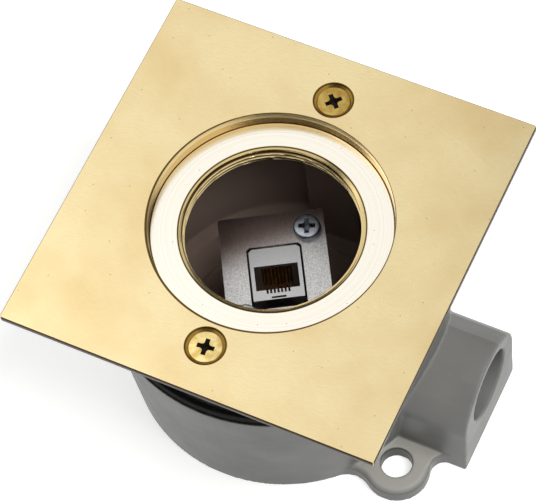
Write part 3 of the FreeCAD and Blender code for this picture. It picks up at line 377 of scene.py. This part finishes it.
def castPaint():
    # grey gloss enamel sprayed on sand-cast iron: thick, flowing over a slightly grainy skin, with only dark
    # primer inside
    look = {"face": "6b6b69", "thin": "636360", "patch": 18, "grain": 0.9, "grainDeep": 0.08, "flow": 7,
            "flowDeep": 0.5, "dustAndPaintedLight": "908f89", "lugLightTop": 8, "holeShade": "2b2a28", "lugAngle": -28.75, "lugOut": 52.2,
            "lugHole": 4.5, "holeShadeBlend": 0.25, "gapShade": "060606", "rimHigh": 47.55, "rimBlend": 0.35,
            "primer": "7d6c62", "primerWide": 43.3, "primerRise": 0.083, "primerTop": 48, "primerBlend": 0.6,
            "primerFrom": (0.5, 1.5), "shine": 0.35, "primerShine": 0.15, "shiny": 0.3, "dull": 0.5}
    material, tree, shader, place = newMaterial("castPaint", {"Metallic": 0, "IOR": 1.45, "Coat Weight": 0.05,
                                                              "Coat Roughness": 0.12})
    parts = addNode(tree, "SeparateXYZ", {}, {0: place.outputs["Object"]})
    patch = addNode(tree, "TexNoise", {"Scale": perMm(look["patch"]), "Detail": 4}, {"Vector": place.outputs["Object"]})
    worn = addNode(tree, "MapRange", {"From Min": 0.4, "From Max": 0.7}, {"Value": patch.outputs["Fac"]})
    painted = addNode(tree, "Mix", {**covering, underIn: linearColour(look["face"]),
                                    overIn: linearColour(look["thin"])}, {shareIn: worn.outputs[0]})
    # painted light: faces that look up below 8 mm, the lugs' tops, are painted paler; painted shade: the lugs' holes
    # are painted dark
    facing = addNode(tree, "SeparateXYZ", {}, {0: place.outputs["Normal"]})
    upward = addNode(tree, "MapRange", {"From Min": 0.5, "From Max": 0.98}, {"Value": facing.outputs["Z"]})
    low = addNode(tree, "MapRange", {"From Min": (look["lugLightTop"] + 1) * mm, "From Max": look["lugLightTop"] * mm},
                  {"Value": parts.outputs["Z"]})
    lugLightShare = addNode(tree, "Math", {"operation": "MULTIPLY"}, {0: upward.outputs[0], 1: low.outputs[0]})
    lugLit = addNode(tree, "Mix", {**covering, overIn: linearColour(look["dustAndPaintedLight"])},
                    {shareIn: lugLightShare.outputs[0], underIn: painted.outputs[mixedOut]})
    turned = addNode(tree, "Mapping", {"Rotation": (0, 0, math.radians(-look["lugAngle"])), "Scale": (1, 1, 0)},
                     {"Vector": place.outputs["Object"]})
    folded = addNode(tree, "VectorMath", {"operation": "ABSOLUTE"}, {0: turned.outputs[0]})
    offHole = addNode(tree, "VectorMath", {"operation": "DISTANCE", 1: (look["lugOut"] * mm, 0, 0)},
                      {0: folded.outputs[0]})
    inHole = addNode(tree, "MapRange", {"From Min": (look["lugHole"] + look["holeShadeBlend"]) * mm,
                                        "From Max": look["lugHole"] * mm}, {"Value": offHole.outputs["Value"]})
    holeShaded = addNode(tree, "Mix", {**covering, overIn: linearColour(look["holeShade"])},
                      {shareIn: inHole.outputs[0], underIn: lugLit.outputs[mixedOut]})
    # painted shade: from the rim's top edge up, the rim and the whole collar are painted near black, for the shadow in
    # the gap under the plate
    rim = addNode(tree, "MapRange", {"From Min": look["rimHigh"] * mm,
                                     "From Max": (look["rimHigh"] + look["rimBlend"]) * mm},
                  {"Value": parts.outputs["Z"]})
    gapShaded = addNode(tree, "Mix", {**covering, overIn: linearColour(look["gapShade"])},
                      {shareIn: rim.outputs[0], underIn: holeShaded.outputs[mixedOut]})
    # the primed inside widens with the wall's draft, and ends above the underside
    flat = addNode(tree, "VectorMath", {"operation": "MULTIPLY", 1: (1, 1, 0)}, {0: place.outputs["Object"]})
    reach = addNode(tree, "VectorMath", {"operation": "LENGTH"}, {0: flat.outputs[0]})
    capped = addNode(tree, "Math", {"operation": "MINIMUM", 1: look["primerTop"] * mm}, {0: parts.outputs["Z"]})
    limit = addNode(tree, "Math", {"operation": "MULTIPLY_ADD", 1: look["primerRise"], 2: look["primerWide"] * mm},
                    {0: capped.outputs[0]})
    depth = addNode(tree, "Math", {"operation": "SUBTRACT"}, {0: limit.outputs[0], 1: reach.outputs["Value"]})
    inside = addNode(tree, "MapRange", {"From Min": 0, "From Max": look["primerBlend"] * mm},
                     {"Value": depth.outputs[0]})
    above = addNode(tree, "MapRange", {"From Min": look["primerFrom"][0] * mm, "From Max": look["primerFrom"][1] * mm},
                    {"Value": parts.outputs["Z"]})
    within = addNode(tree, "Math", {"operation": "MULTIPLY"}, {0: inside.outputs[0], 1: above.outputs[0]})
    primed = addNode(tree, "Mix", {**covering, overIn: linearColour(look["primer"])},
                     {shareIn: within.outputs[0], underIn: gapShaded.outputs[mixedOut]})
    sheen = addNode(tree, "MapRange", {"To Min": look["shiny"], "To Max": look["dull"]},
                    {"Value": patch.outputs["Fac"]})
    shine = addNode(tree, "MapRange", {"To Min": look["shine"], "To Max": look["primerShine"]},
                    {"Value": within.outputs[0]})
    grain = addNode(tree, "TexNoise", {"Scale": perMm(look["grain"]), "Detail": 3}, {"Vector": place.outputs["Object"]})
    flow = addNode(tree, "TexNoise", {"Scale": perMm(look["flow"]), "Detail": 1}, {"Vector": place.outputs["Object"]})
    waves = addNode(tree, "Bump", {"Strength": 0.3, "Distance": look["flowDeep"] * mm},
                    {"Height": flow.outputs["Fac"]})
    bump = addNode(tree, "Bump", {"Strength": 0.2, "Distance": look["grainDeep"] * mm},
                   {"Height": grain.outputs["Fac"], "Normal": waves.outputs[0]})
    feed(tree, shader, {"Base Color": primed.outputs[mixedOut], "Roughness": sheen.outputs[0],
                        "Specular IOR Level": shine.outputs[0], "Normal": bump.outputs[0]})
    return material


def mouldedRubber():
    # black nitrile sheet and cord: matt, with a trace of talc
    look = {"rubber": "050505", "talc": "0e0e0d", "dustAndPaintedLight": 1.6, "skin": 0.4, "skinDeep": 0.04}
    material, tree, shader, place = newMaterial("mouldedRubber", {"Roughness": 0.85, "IOR": 1.52,
                                                                  "Specular IOR Level": 0.2})
    dustAndPaintedLight = addNode(tree, "TexNoise", {"Scale": perMm(look["dustAndPaintedLight"]), "Detail": 4}, {"Vector": place.outputs["Object"]})
    ramp = addNode(tree, "ValToRGB", {}, {"Fac": dustAndPaintedLight.outputs["Fac"]})
    setRamp(ramp, [(0.4, look["rubber"]), (0.8, look["talc"])])
    skin = addNode(tree, "TexNoise", {"Scale": perMm(look["skin"])}, {"Vector": place.outputs["Object"]})
    bump = addNode(tree, "Bump", {"Strength": 0.3, "Distance": look["skinDeep"] * mm}, {"Height": skin.outputs["Fac"]})
    feed(tree, shader, {"Base Color": ramp.outputs["Color"], "Normal": bump.outputs[0]})
    return material


def platedSheet():
    # cold-rolled steel sheet, zinc plated and dull: rolling lines along the bracket under a gritty skin, and a
    # painted shade that darkens and browns it towards the screwed end, for the far rim's shadow and the brass it
    # reflects there; the real lines and grit are finer, and are drawn as coarse as they need to show
    look = {"zinc": "d4d2d0", "stainAndShade": "8a746d", "lineWide": 0.28, "lineLong": 5, "lineDeep": 0.03, "grit": 0.4,
            "slant": -0.25, "turn": -30.7, "endShadeFrom": 3, "endShadeFull": 16, "endShadeLeast": 0.78, "shiny": 0.3,
            "dull": 0.48}
    material, tree, shader, place = newMaterial("platedSheet", {"Metallic": 1})
    lie = addNode(tree, "Mapping", {"Rotation": (0, 0, math.radians(look["turn"]))},
                  {"Vector": place.outputs["Object"]})
    stretch = addNode(tree, "VectorMath", {"operation": "MULTIPLY", 1: (
        perMm(look["lineWide"]), perMm(look["lineLong"]), perMm(look["lineWide"]))}, {0: lie.outputs[0]})
    lines = addNode(tree, "TexNoise", {"Scale": 1, "Detail": 3, "Roughness": 0.6}, {"Vector": stretch.outputs[0]})
    grit = addNode(tree, "TexNoise", {"Scale": perMm(look["grit"]), "Detail": 4, "Roughness": 0.7},
                   {"Vector": place.outputs["Object"]})
    parts = addNode(tree, "SeparateXYZ", {}, {0: lie.outputs[0]})
    slant = addNode(tree, "Math", {"operation": "MULTIPLY_ADD", 1: look["slant"]},
                    {0: parts.outputs["X"], 2: parts.outputs["Y"]})
    # painted shade: the sheet is darkened and browned towards the screwed end, spotted by the grit
    rise = addNode(tree, "MapRange", {"interpolation_type": "SMOOTHSTEP", "From Min": look["endShadeFrom"] * mm,
                                      "From Max": look["endShadeFull"] * mm}, {"Value": slant.outputs[0]})
    spots = addNode(tree, "MapRange", {"From Min": 0.3, "From Max": 0.6, "To Min": look["endShadeLeast"]},
                    {"Value": grit.outputs["Fac"]})
    stainAndShade = addNode(tree, "Math", {"operation": "MULTIPLY"}, {0: rise.outputs[0], 1: spots.outputs[0]})
    endShaded = addNode(tree, "Mix", {**covering, underIn: linearColour(look["zinc"]),
                                    overIn: linearColour(look["stainAndShade"])}, {shareIn: stainAndShade.outputs[0]})
    shade = addNode(tree, "MapRange", {"From Min": 0.3, "From Max": 0.7, "To Min": 0.87, "To Max": 1.07},
                    {"Value": lines.outputs["Fac"]})
    lined = addNode(tree, "Mix", tinting, {underIn: endShaded.outputs[mixedOut], overIn: shade.outputs[0]})
    dots = addNode(tree, "MapRange", {"From Min": 0.35, "From Max": 0.65, "To Min": 0.66, "To Max": 1.28},
                   {"Value": grit.outputs["Fac"]})
    gritty = addNode(tree, "Mix", tinting, {underIn: lined.outputs[mixedOut], overIn: dots.outputs[0]})
    sheen = addNode(tree, "MapRange", {"To Min": look["shiny"], "To Max": look["dull"]},
                    {"Value": lines.outputs["Fac"]})
    bump = addNode(tree, "Bump", {"Strength": 0.25, "Distance": look["lineDeep"] * mm},
                   {"Height": lines.outputs["Fac"]})
    feed(tree, shader, {"Base Color": gritty.outputs[mixedOut], "Roughness": sheen.outputs[0],
                        "Normal": bump.outputs[0]})
    return material


def metalFinish(name, look):
    # a plain metal with a mottled plating or skin: two close colours, and a sheen that follows them
    material, tree, shader, place = newMaterial(name, {"Metallic": 1})
    cloud = addNode(tree, "TexNoise", {"Scale": perMm(look["mottle"]), "Detail": 4, "Roughness": 0.6},
                    {"Vector": place.outputs["Object"]})
    ramp = addNode(tree, "ValToRGB", {}, {"Fac": cloud.outputs["Fac"]})
    setRamp(ramp, [(0.35, look["dark"]), (0.65, look["light"])])
    sheen = addNode(tree, "MapRange", {"To Min": look["shiny"], "To Max": look["dull"]},
                    {"Value": cloud.outputs["Fac"]})
    skin = addNode(tree, "TexNoise", {"Scale": perMm(look["skin"]), "Detail": 2}, {"Vector": place.outputs["Object"]})
    bump = addNode(tree, "Bump", {"Strength": 0.25, "Distance": 0.02 * mm}, {"Height": skin.outputs["Fac"]})
    feed(tree, shader, {"Base Color": ramp.outputs["Color"], "Roughness": sheen.outputs[0],
                        "Normal": bump.outputs[0]})
    return material


def mouldedPlastic(name, look):
    # an injection-moulded skin: even colour with slight flow marks and a fine spark-eroded grain
    skin = {"flow": 3, "grain": 0.15, "grainDeep": 0.02}
    material, tree, shader, place = newMaterial(name, {"Roughness": look["roughness"], "IOR": look["ior"]})
    flow = addNode(tree, "TexNoise", {"Scale": perMm(skin["flow"]), "Detail": 3}, {"Vector": place.outputs["Object"]})
    ramp = addNode(tree, "ValToRGB", {}, {"Fac": flow.outputs["Fac"]})
    setRamp(ramp, [(0.35, look["dark"]), (0.7, look["light"])])
    grain = addNode(tree, "TexNoise", {"Scale": perMm(skin["grain"])}, {"Vector": place.outputs["Object"]})
    bump = addNode(tree, "Bump", {"Strength": 0.3, "Distance": skin["grainDeep"] * mm},
                   {"Height": grain.outputs["Fac"]})
    feed(tree, shader, {"Base Color": ramp.outputs["Color"], "Normal": bump.outputs[0]})
    return material


sheetBrass = linishedBrass()
barBrass = turnedBrass()
fixingBrass = screwBrass()
enamel = castPaint()
rubber = mouldedRubber()
bracketZinc = platedSheet()

# bright zinc plate with its blue passivation, on the small screws and the standoffs
screwZinc = metalFinish("brightZinc", {"dark": "a2a8b2", "light": "c4c9d0", "mottle": 1.6, "skin": 0.5,
                                       "shiny": 0.34, "dull": 0.46})
# the same plate, darker and greyer in the punched cross
crossZinc = metalFinish("crossZinc", {"dark": "4a4d52", "light": "989ea6", "mottle": 0.6, "skin": 0.4,
                                      "shiny": 0.3, "dull": 0.4})
# satin nickel on a zinc die casting, pale and even
dieCast = metalFinish("satinNickel", {"dark": "c6c6c6", "light": "d2d2d2", "mottle": 0.5, "skin": 0.25,
                                      "shiny": 0.4, "dull": 0.5})
# gold flash on phosphor bronze wire, warm and bright
goldFlash = metalFinish("goldFlash", {"dark": "a86e34", "light": "dca65c", "mottle": 1.2, "skin": 0.3,
                                      "shiny": 0.3, "dull": 0.4})
# tinned brass blades, white and slightly cloudy
tinPlate = metalFinish("tinPlate", {"dark": "b6b7b8", "light": "d2d3d4", "mottle": 0.8, "skin": 0.3,
                                    "shiny": 0.3, "dull": 0.45})
# drawn spring wire, plain and grey
springSteel = metalFinish("springSteel", {"dark": "8d8e90", "light": "a9aaac", "mottle": 1.5, "skin": 0.4,
                                          "shiny": 0.28, "dull": 0.4})
# spring strip blacked in hot oil, nearly without shine
blackedSteel = metalFinish("blackedSteel", {"dark": "17120f", "light": "241c18", "mottle": 1.5, "skin": 0.4,
                                            "shiny": 0.4, "dull": 0.5})
# near black in the plate screws' crosses
crossDark = mouldedPlastic("recessDark", {"dark": "0b0805", "light": "1a130a", "roughness": 0.8, "ior": 1.4})
# glass-filled nylon mouldings, matt
blackNylon = mouldedPlastic("blackNylon", {"dark": "15130f", "light": "1d1a15", "roughness": 0.5, "ior": 1.53})
brownNylon = mouldedPlastic("brownNylon", {"dark": "342217", "light": "452f1c", "roughness": 0.6, "ior": 1.53})
# green solder resist, screen printed on the circuit board: smooth and glossy
solderResist = mouldedPlastic("solderResist", {"dark": "0d3a20", "light": "14492a", "roughness": 0.3, "ior": 1.5})
print("materials made")


# Cover plate

def makeCoverPlate():
    plate = {"recess": 33.8, "seatTop": 5.5, "corner": 0.8, "cornerSteps": 6, "edge": 0.2, "recessSteps": 256,
             "seatSteps": 96}
    low, high = [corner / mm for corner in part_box("cover_plate")]
    edge = plate["edge"]
    work = bmesh.new()

    def walls(loops):
        # loops of points (x, y, height) joined from the top face down to the bottom face
        rings = [[work.verts.new((x * mm, y * mm, height * mm)) for x, y, height in loop] for loop in loops]
        for upper, lower in zip(rings, rings[1:]):
            joinLoops(work, upper, lower)
        return [[work.edges.get((ring[index], ring[(index + 1) % len(ring)])) for index in range(len(ring))]
                for ring in (rings[0], rings[-1])]

    def circle(centre, radius, height, steps):
        return [(centre[0] + radius * math.cos(math.tau * step / steps),
                 centre[1] + radius * math.sin(math.tau * step / steps), height) for step in range(steps)]

    def outline(inset, height):
        loop = []
        for side, (signX, signY) in enumerate(((1, 1), (-1, 1), (-1, -1), (1, -1))):
            for step in range(plate["cornerSteps"] + 1):
                angle = math.radians(90 * side + 90 / plate["cornerSteps"] * step)
                reach = plate["corner"] - inset
                loop.append((signX * (high.x - plate["corner"]) + reach * math.cos(angle),
                             signY * (high.y - plate["corner"]) + reach * math.sin(angle), height))
        return loop

    # (inset, fall) down a softened edge
    softened = [(edge * 1.5, 0), (edge, 0), (edge * 0.3, edge * 0.3), (0, edge)]
    outside = [outline(inset, high.z - fall) for inset, fall in softened]
    outside += [outline(inset, low.z + fall) for inset, fall in reversed(softened)]
    openings = [[circle((0, 0), plate["recess"] + inset, high.z - fall, plate["recessSteps"])
                 for inset, fall in softened] + [circle((0, 0), plate["recess"], low.z, plate["recessSteps"])]]
    for box in solidBoxes("plate_screws"):
        # a countersink at 45 degrees, through the plate
        centre = (box[0] + box[1]) / 2
        foot = plate["seatTop"] - (high.z - low.z)
        openings.append([circle(centre, plate["seatTop"] + inset, high.z - fall, plate["seatSteps"])
                         for inset, fall in ((edge, 0), (edge * 0.6, 0), (0, edge * 0.3))]
                        + [circle(centre, foot, low.z, plate["seatSteps"])])
    ends = [walls(loops) for loops in [outside] + openings]
    for face in (0, 1):
        bmesh.ops.triangle_fill(work, use_beauty=True, edges=[edge for end in ends for edge in end[face]])
    piece = newPiece("coverPlate", work, sheetBrass)
    smooth(piece, 30)
    seat(piece, "box", ["cover_plate"])


makeCoverPlate()
print("cover plate made")


# Turned ring with the cap's thread

def makeRecessRing():
    ring = {"bore": 24.3, "root": 25.2, "pitch": 1.5, "leadStart": 136, "leadRise": 0.75, "floor": 69,
            "flangeUnder": 67, "hub": 30, "recess": 33.8, "lean": 0.35, "seam": 0.1, "bevel": 1.65,
            "bevelDeep": 0.8, "runout": 0.9, "runoutHigh": 1.7, "groove": 0.16, "grooveDeep": 0.12,
            "grooveSlope": 0.08, "steps": 384, "rows": 72}
    low, high = [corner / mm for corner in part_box("recess_ring")]

    def threadOut(angle, height):
        # the last turn stops short in a blunt end above the foot of the bore
        lead = (angle - math.radians(ring["leadStart"])) % math.tau / math.tau
        if height - low.z < ring["leadRise"] * ring["pitch"] * lead:
            return 1
        return threadShare(angle, height, ring["pitch"])

    profile = [(ring["hub"], low.z, 0)]
    chamferFoot = ring["floor"] - ring["bevelDeep"]
    threadTop = ring["floor"] - 0.1
    for row in range(ring["rows"] + 1):
        height = low.z + (threadTop - low.z) * row / ring["rows"]
        opened = max((height - chamferFoot) * ring["bevel"] / ring["bevelDeep"],
                     (low.z + ring["runoutHigh"] - height) * ring["runout"] / ring["runoutHigh"], 0)
        profile.append((ring["bore"] + opened, height, max(ring["root"] - ring["bore"] - opened, 0)))
    # the floor ends in a fine groove at the foot of the wall, which leans out a little
    foot = ring["recess"] - ring["lean"]
    grooveFloor = ring["floor"] - ring["grooveDeep"]
    profile += [(ring["bore"] + ring["bevel"], ring["floor"], 0), (foot - ring["groove"], ring["floor"], 0),
                (foot - ring["groove"] + ring["grooveSlope"], grooveFloor, 0), (foot, grooveFloor, 0),
                (foot, ring["floor"], 0), (ring["recess"], high.z - ring["seam"], 0),
                (ring["recess"] + ring["seam"], high.z, 0), (high.x, high.z, 0), (high.x, ring["flangeUnder"], 0),
                (ring["hub"], ring["flangeUnder"], 0)]
    work = bmesh.new()
    turnedShape(work, profile, (0, 0), ring["steps"], threadOut, closed=True)
    piece = newPiece("recessRing", work, barBrass)
    smooth(piece, 18)
    seat(piece, "box", ["recess_ring"])


makeRecessRing()
print("ring made")


# Screws

def crossCutter(centre, top, turn, kind):
    # cross recess: four arms that narrow and draw in towards the bottom, with rounded inner corners; the levels
    # are (height over the head, share of the span, share of the arms' width)
    deep = kind["crossDeep"]
    levels = [(0.3, 1.06, 1.04), (0, 1, 1), (-deep * 0.55, 0.68, 0.86), (-deep, 0.34, 0.7)]
    work = bmesh.new()
    rings = []
    for rise, spanShare, widthShare in levels:
        half = kind["armWide"] * widthShare / 2
        reach = kind["span"] * spanShare / 2
        fillet = min(half * 1.1, (reach - half) * 0.6)
        ring = []
        for arm in range(4):
            side = math.radians(turn + 90 * arm)
            outline = [(reach, -half), (reach, half)]
            for step in range(5):
                bend = math.radians(22.5 * step)
                outline.append((half + fillet - fillet * math.sin(bend), half + fillet - fillet * math.cos(bend)))
            for x, y in outline:
                ring.append(work.verts.new(((centre[0] + x * math.cos(side) - y * math.sin(side)) * mm,
                                            (centre[1] + x * math.sin(side) + y * math.cos(side)) * mm,
                                            (top + rise) * mm)))
        rings.append(ring)
    work.faces.new(rings[0])
    work.faces.new(rings[-1])
    for upper, lower in zip(rings, rings[1:]):
        joinLoops(work, upper, lower)
    return newPiece("crossCutter", work, kind["crossSkin"])


def makeScrew(name, box, kind, material, turn):
    # kind holds the head's profile, from the centre out and down, as (radius, fall from the top); below it the
    # thread fades in over its first turn and ends at a plain tip
    tipLong, rowsPerTurn, threadDeep = 0.6, 6, 0.55
    centre = (box[0] + box[1]) / 2
    top, tip = box[1].z, box[0].z
    profile = [(radius, top - fall, 0) for radius, fall in kind["head"]]
    start = profile[-1][1]
    threaded = start - tip - tipLong
    count = int(threaded / kind["pitch"] * rowsPerTurn)
    for row in range(count + 1):
        fade = min(row / rowsPerTurn, 1)
        profile.append((kind["shank"] - 0.05, start - threaded * row / count, -kind["pitch"] * threadDeep * fade))
    profile += [(kind["shank"] * 0.72, tip, 0), (0, tip, 0)]
    work = bmesh.new()
    turnedShape(work, profile, centre, 48, lambda angle, height: threadShare(angle, height, kind["pitch"]))
    piece = newPiece(name, work, material)
    cutAway(piece, crossCutter(centre, top, turn, kind))
    smooth(piece, 32)
    seat(piece, "box")
    return piece


flatHead = {"shank": 2.5, "pitch": 0.8, "span": 4.9, "armWide": 1.3, "crossDeep": 2, "crossSkin": crossDark,
            "head": [(0, 0), (4, 0), (4.5, 0.06), (4.65, 0.2), (4.65, 0.32), (2.5, 2.47)]}
panHead = {"shank": 2, "pitch": 0.7, "span": 4.8, "armWide": 1.35, "crossDeep": 1.5, "crossSkin": crossZinc,
           "head": [(0, 0), (3.3, 0.02), (3.55, 0.1), (3.78, 0.3), (3.88, 0.6), (3.9, 1.2), (3.9, 2.3), (2, 2.3)]}


def makeScrews():
    # how far each screw was turned home, in degrees
    turns = {"plate": (6.4, 46), "bracket": (62, 24), "earth": 15}
    plateScrews = [makeScrew(f"plateScrew{index + 1}", box, flatHead, fixingBrass,
                             turns["plate"][index]) for index, box in enumerate(solidBoxes("plate_screws"))]
    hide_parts("plate_screws")
    bracketScrews = [makeScrew(f"bracketScrew{index + 1}", box, panHead, screwZinc,
                               turns["bracket"][index]) for index, box in enumerate(solidBoxes("bracket_screws"))]
    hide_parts("bracket_screws")
    earthScrew = makeScrew("earthScrew", solidBoxes("earth_screw")[0], panHead, screwZinc,
                           turns["earth"])
    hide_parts("earth_screw")


makeScrews()
print("screws made")


# Cast box

def makeCasting():
    # the casting's own solid with its edges run soft, as sand and paint leave them
    casting = {"voxel": 0.42, "rounds": 4, "keep": 0.22, "flatness": 80}
    mesh = nodes["box_body"].data.copy()
    piece = bpy.data.objects.new("boxCasting", mesh)
    bpy.context.scene.collection.objects.link(piece)
    mesh.materials.clear()
    mesh.materials.append(enamel)
    shell = piece.modifiers.new("shell", "REMESH")
    shell.mode = "VOXEL"
    shell.voxel_size = casting["voxel"] * mm
    shell.use_smooth_shade = True
    soften = piece.modifiers.new("soften", "SMOOTH")
    soften.factor = 0.5
    soften.iterations = casting["rounds"]
    thin = piece.modifiers.new("thin", "DECIMATE")
    thin.ratio = casting["keep"]
    even = piece.modifiers.new("even", "WEIGHTED_NORMAL")
    even.weight = casting["flatness"]
    settle(piece)
    seat(piece, "box", ["box_body"])
    print("casting faces", len(piece.data.polygons))


makeCasting()
print("casting made")


# CAD solids that are shown as they are, with their edges broken

def dress(nodeName, material, edge):
    piece = nodes[nodeName]
    for slot in piece.material_slots:
        slot.material = material
    if edge:
        weld = piece.modifiers.new("weld", "WELD")
        weld.merge_threshold = mm / 500
        roundEdges(piece, edge)


def dressNodes():
    # each node's finish, and the width of its broken edge
    finishes = {"extension_collar": (enamel, 0.35), "rim_gasket": (rubber, 0.3), "ring_seal": (rubber, 0.2),
                "jack_bracket": (bracketZinc, 0.15), "bracket_standoffs": (screwZinc, 0.12),
                "earth_washer": (fixingBrass, 0.08), "jack_housing": (dieCast, 0.12),
                "contact_carrier": (brownNylon, 0.05), "contact_springs": (goldFlash, 0),
                "contact_tails": (goldFlash, 0), "jack_board": (solderResist, 0),
                "terminal_block": (blackNylon, 0.1), "cable_blades": (tinPlate, 0),
                "cover_pins": (springSteel, 0), "latch_spring": (blackedSteel, 0.06),
                "rear_cover_right": (blackNylon, 0.1), "rear_cover_left": (blackNylon, 0.1)}
    for nodeName, (material, edge) in finishes.items():
        dress(nodeName, material, edge)


dressNodes()
print("CAD nodes dressed")


# Floor, light and camera

def rectangle(centre, size):
    # a flat sheet of cloth or paper, given by its middle and its half width and depth
    work = bmesh.new()
    work.faces.new([work.verts.new((centre[0] + x * size[0], centre[1] + y * size[1], centre[2]))
                    for x, y in ((-1, -1), (1, -1), (1, 1), (-1, 1))])
    return work


def makeFloor():
    # pale paper, lifted to white where it is seen directly or in metal, and plain where it lights the object
    floor = {"size": 12, "paper": "c4c4c3", "lift": 0.62}
    material = bpy.data.materials.new("paperFloor")
    material.use_nodes = True
    tree = material.node_tree
    tree.nodes.clear()
    paper = addNode(tree, "BsdfDiffuse", {"Color": linearColour(floor["paper"])}, {})
    path = addNode(tree, "LightPath", {}, {})
    seen = addNode(tree, "Math", {"operation": "MAXIMUM"},
                   {0: path.outputs["Is Camera Ray"], 1: path.outputs["Is Glossy Ray"]})
    lift = addNode(tree, "Math", {"operation": "MULTIPLY", 1: floor["lift"]}, {0: seen.outputs[0]})
    glow = addNode(tree, "Emission", {}, {"Strength": lift.outputs[0]})
    both = addNode(tree, "AddShader", {}, {0: paper.outputs[0], 1: glow.outputs[0]})
    addNode(tree, "OutputMaterial", {}, {"Surface": both.outputs[0]})
    sheet = rectangle((0, 0, cadBounds[0].z), (floor["size"], floor["size"]))
    newPiece("floor", sheet, material)


def makeWorld():
    sky = {"white": "ffffff", "fill": 0.24}
    world = bpy.data.worlds.new("paleStudio")
    bpy.context.scene.world = world
    world.use_nodes = True
    tree = world.node_tree
    tree.nodes.clear()
    path = addNode(tree, "LightPath", {}, {})
    direct = addNode(tree, "Math", {"operation": "MAXIMUM"},
                     {0: path.outputs["Is Camera Ray"], 1: path.outputs["Is Glossy Ray"]})
    shown = addNode(tree, "Math", {"operation": "MAXIMUM"},
                    {0: direct.outputs[0], 1: path.outputs["Is Transmission Ray"]})
    fill = addNode(tree, "Background", {"Color": linearColour(sky["white"]), "Strength": sky["fill"]}, {})
    white = addNode(tree, "Background", {"Color": linearColour(sky["white"]), "Strength": 1}, {})
    chosen = addNode(tree, "MixShader", {}, {0: shown.outputs[0], 1: fill.outputs[0], 2: white.outputs[0]})
    addNode(tree, "OutputWorld", {}, {"Surface": chosen.outputs[0]})


def makeLamps():
    # places and sizes in metres; the large boxes give soft shade, and the two in metal give its glints
    lamps = {"mainSoftbox": {"place": (0.5, -0.02, 1.0), "size": 0.6, "power": 12, "inMetal": False},
             "backSoftbox": {"place": (-0.31, 0.48, 1.04), "size": 0.8, "power": 2, "inMetal": False},
             "frontSoftbox": {"place": (0.33, -0.42, 1.0), "size": 0.6, "power": 2, "inMetal": False},
             "glintSoftbox": {"place": (0.57, -0.68, 0.47), "size": 0.1, "power": 0.7, "inMetal": True},
             "sideSoftbox": {"place": (-0.34, 0.02, 0.6), "size": 0.35, "power": 0.3, "inMetal": True}}
    for name, lamp in lamps.items():
        light = bpy.data.lights.new(name, "AREA")
        light.size = lamp["size"]
        light.energy = lamp["power"]
        stand = bpy.data.objects.new(name, light)
        stand.visible_glossy = lamp["inMetal"]
        stand.location = lamp["place"]
        toObject = Vector((0, 0, 0.05)) - Vector(lamp["place"])
        stand.rotation_euler = toObject.to_track_quat("-Z", "Y").to_euler()
        bpy.context.scene.collection.objects.link(stand)


def makeFlags():
    # dark studio flags, seen only in the metal's reflections; places and half sizes in metres
    flags = {"flagFront": {"place": (0.10, -0.54, 0.60), "size": (0.35, 0.26), "cloth": "303030"},
             "flagLeft": {"place": (-0.40, -0.36, 0.60), "size": (0.15, 0.25), "cloth": "9a9a9a"},
             "flagBack": {"place": (0.115, 0.445, 0.60), "size": (0.145, 0.175), "cloth": "303030"},
             "flagLow": {"place": (-0.79, 1.27, 0.25), "size": (0.9, 0.9), "cloth": "4c4c4c"}}
    for name, flag in flags.items():
        material = newMaterial(name + "Cloth", {"Base Color": linearColour(flag["cloth"]), "Roughness": 0.9})[0]
        cloth = newPiece(name, rectangle(flag["place"], flag["size"]), material)
        cloth.visible_camera = False
        cloth.visible_diffuse = False
        cloth.visible_shadow = False


def makeCamera():
    # across, upward and back are the camera's own axes
    view = {"place": (0.20830, -0.32954, 0.76611), "lens": 197.1, "sensor": 36, "near": 0.01, "far": 100,
            "across": (0.90397, 0.42141, -0.07243), "upward": (-0.34001, 0.81116, 0.47582),
            "back": (0.25927, -0.40550, 0.87656)}
    camera = bpy.data.objects.new("camera", bpy.data.cameras.new("camera"))
    camera.data.lens = view["lens"]
    camera.data.sensor_width = view["sensor"]
    camera.data.clip_start = view["near"]
    camera.data.clip_end = view["far"]
    axes = Matrix((view["across"], view["upward"], view["back"])).transposed()
    camera.matrix_world = Matrix.Translation(view["place"]) @ axes.to_4x4()
    bpy.context.scene.collection.objects.link(camera)
    bpy.context.scene.camera = camera


makeFloor()
makeWorld()
makeLamps()
makeFlags()
makeCamera()
bpy.context.scene.view_settings.view_transform = "Standard"
print("stage set")
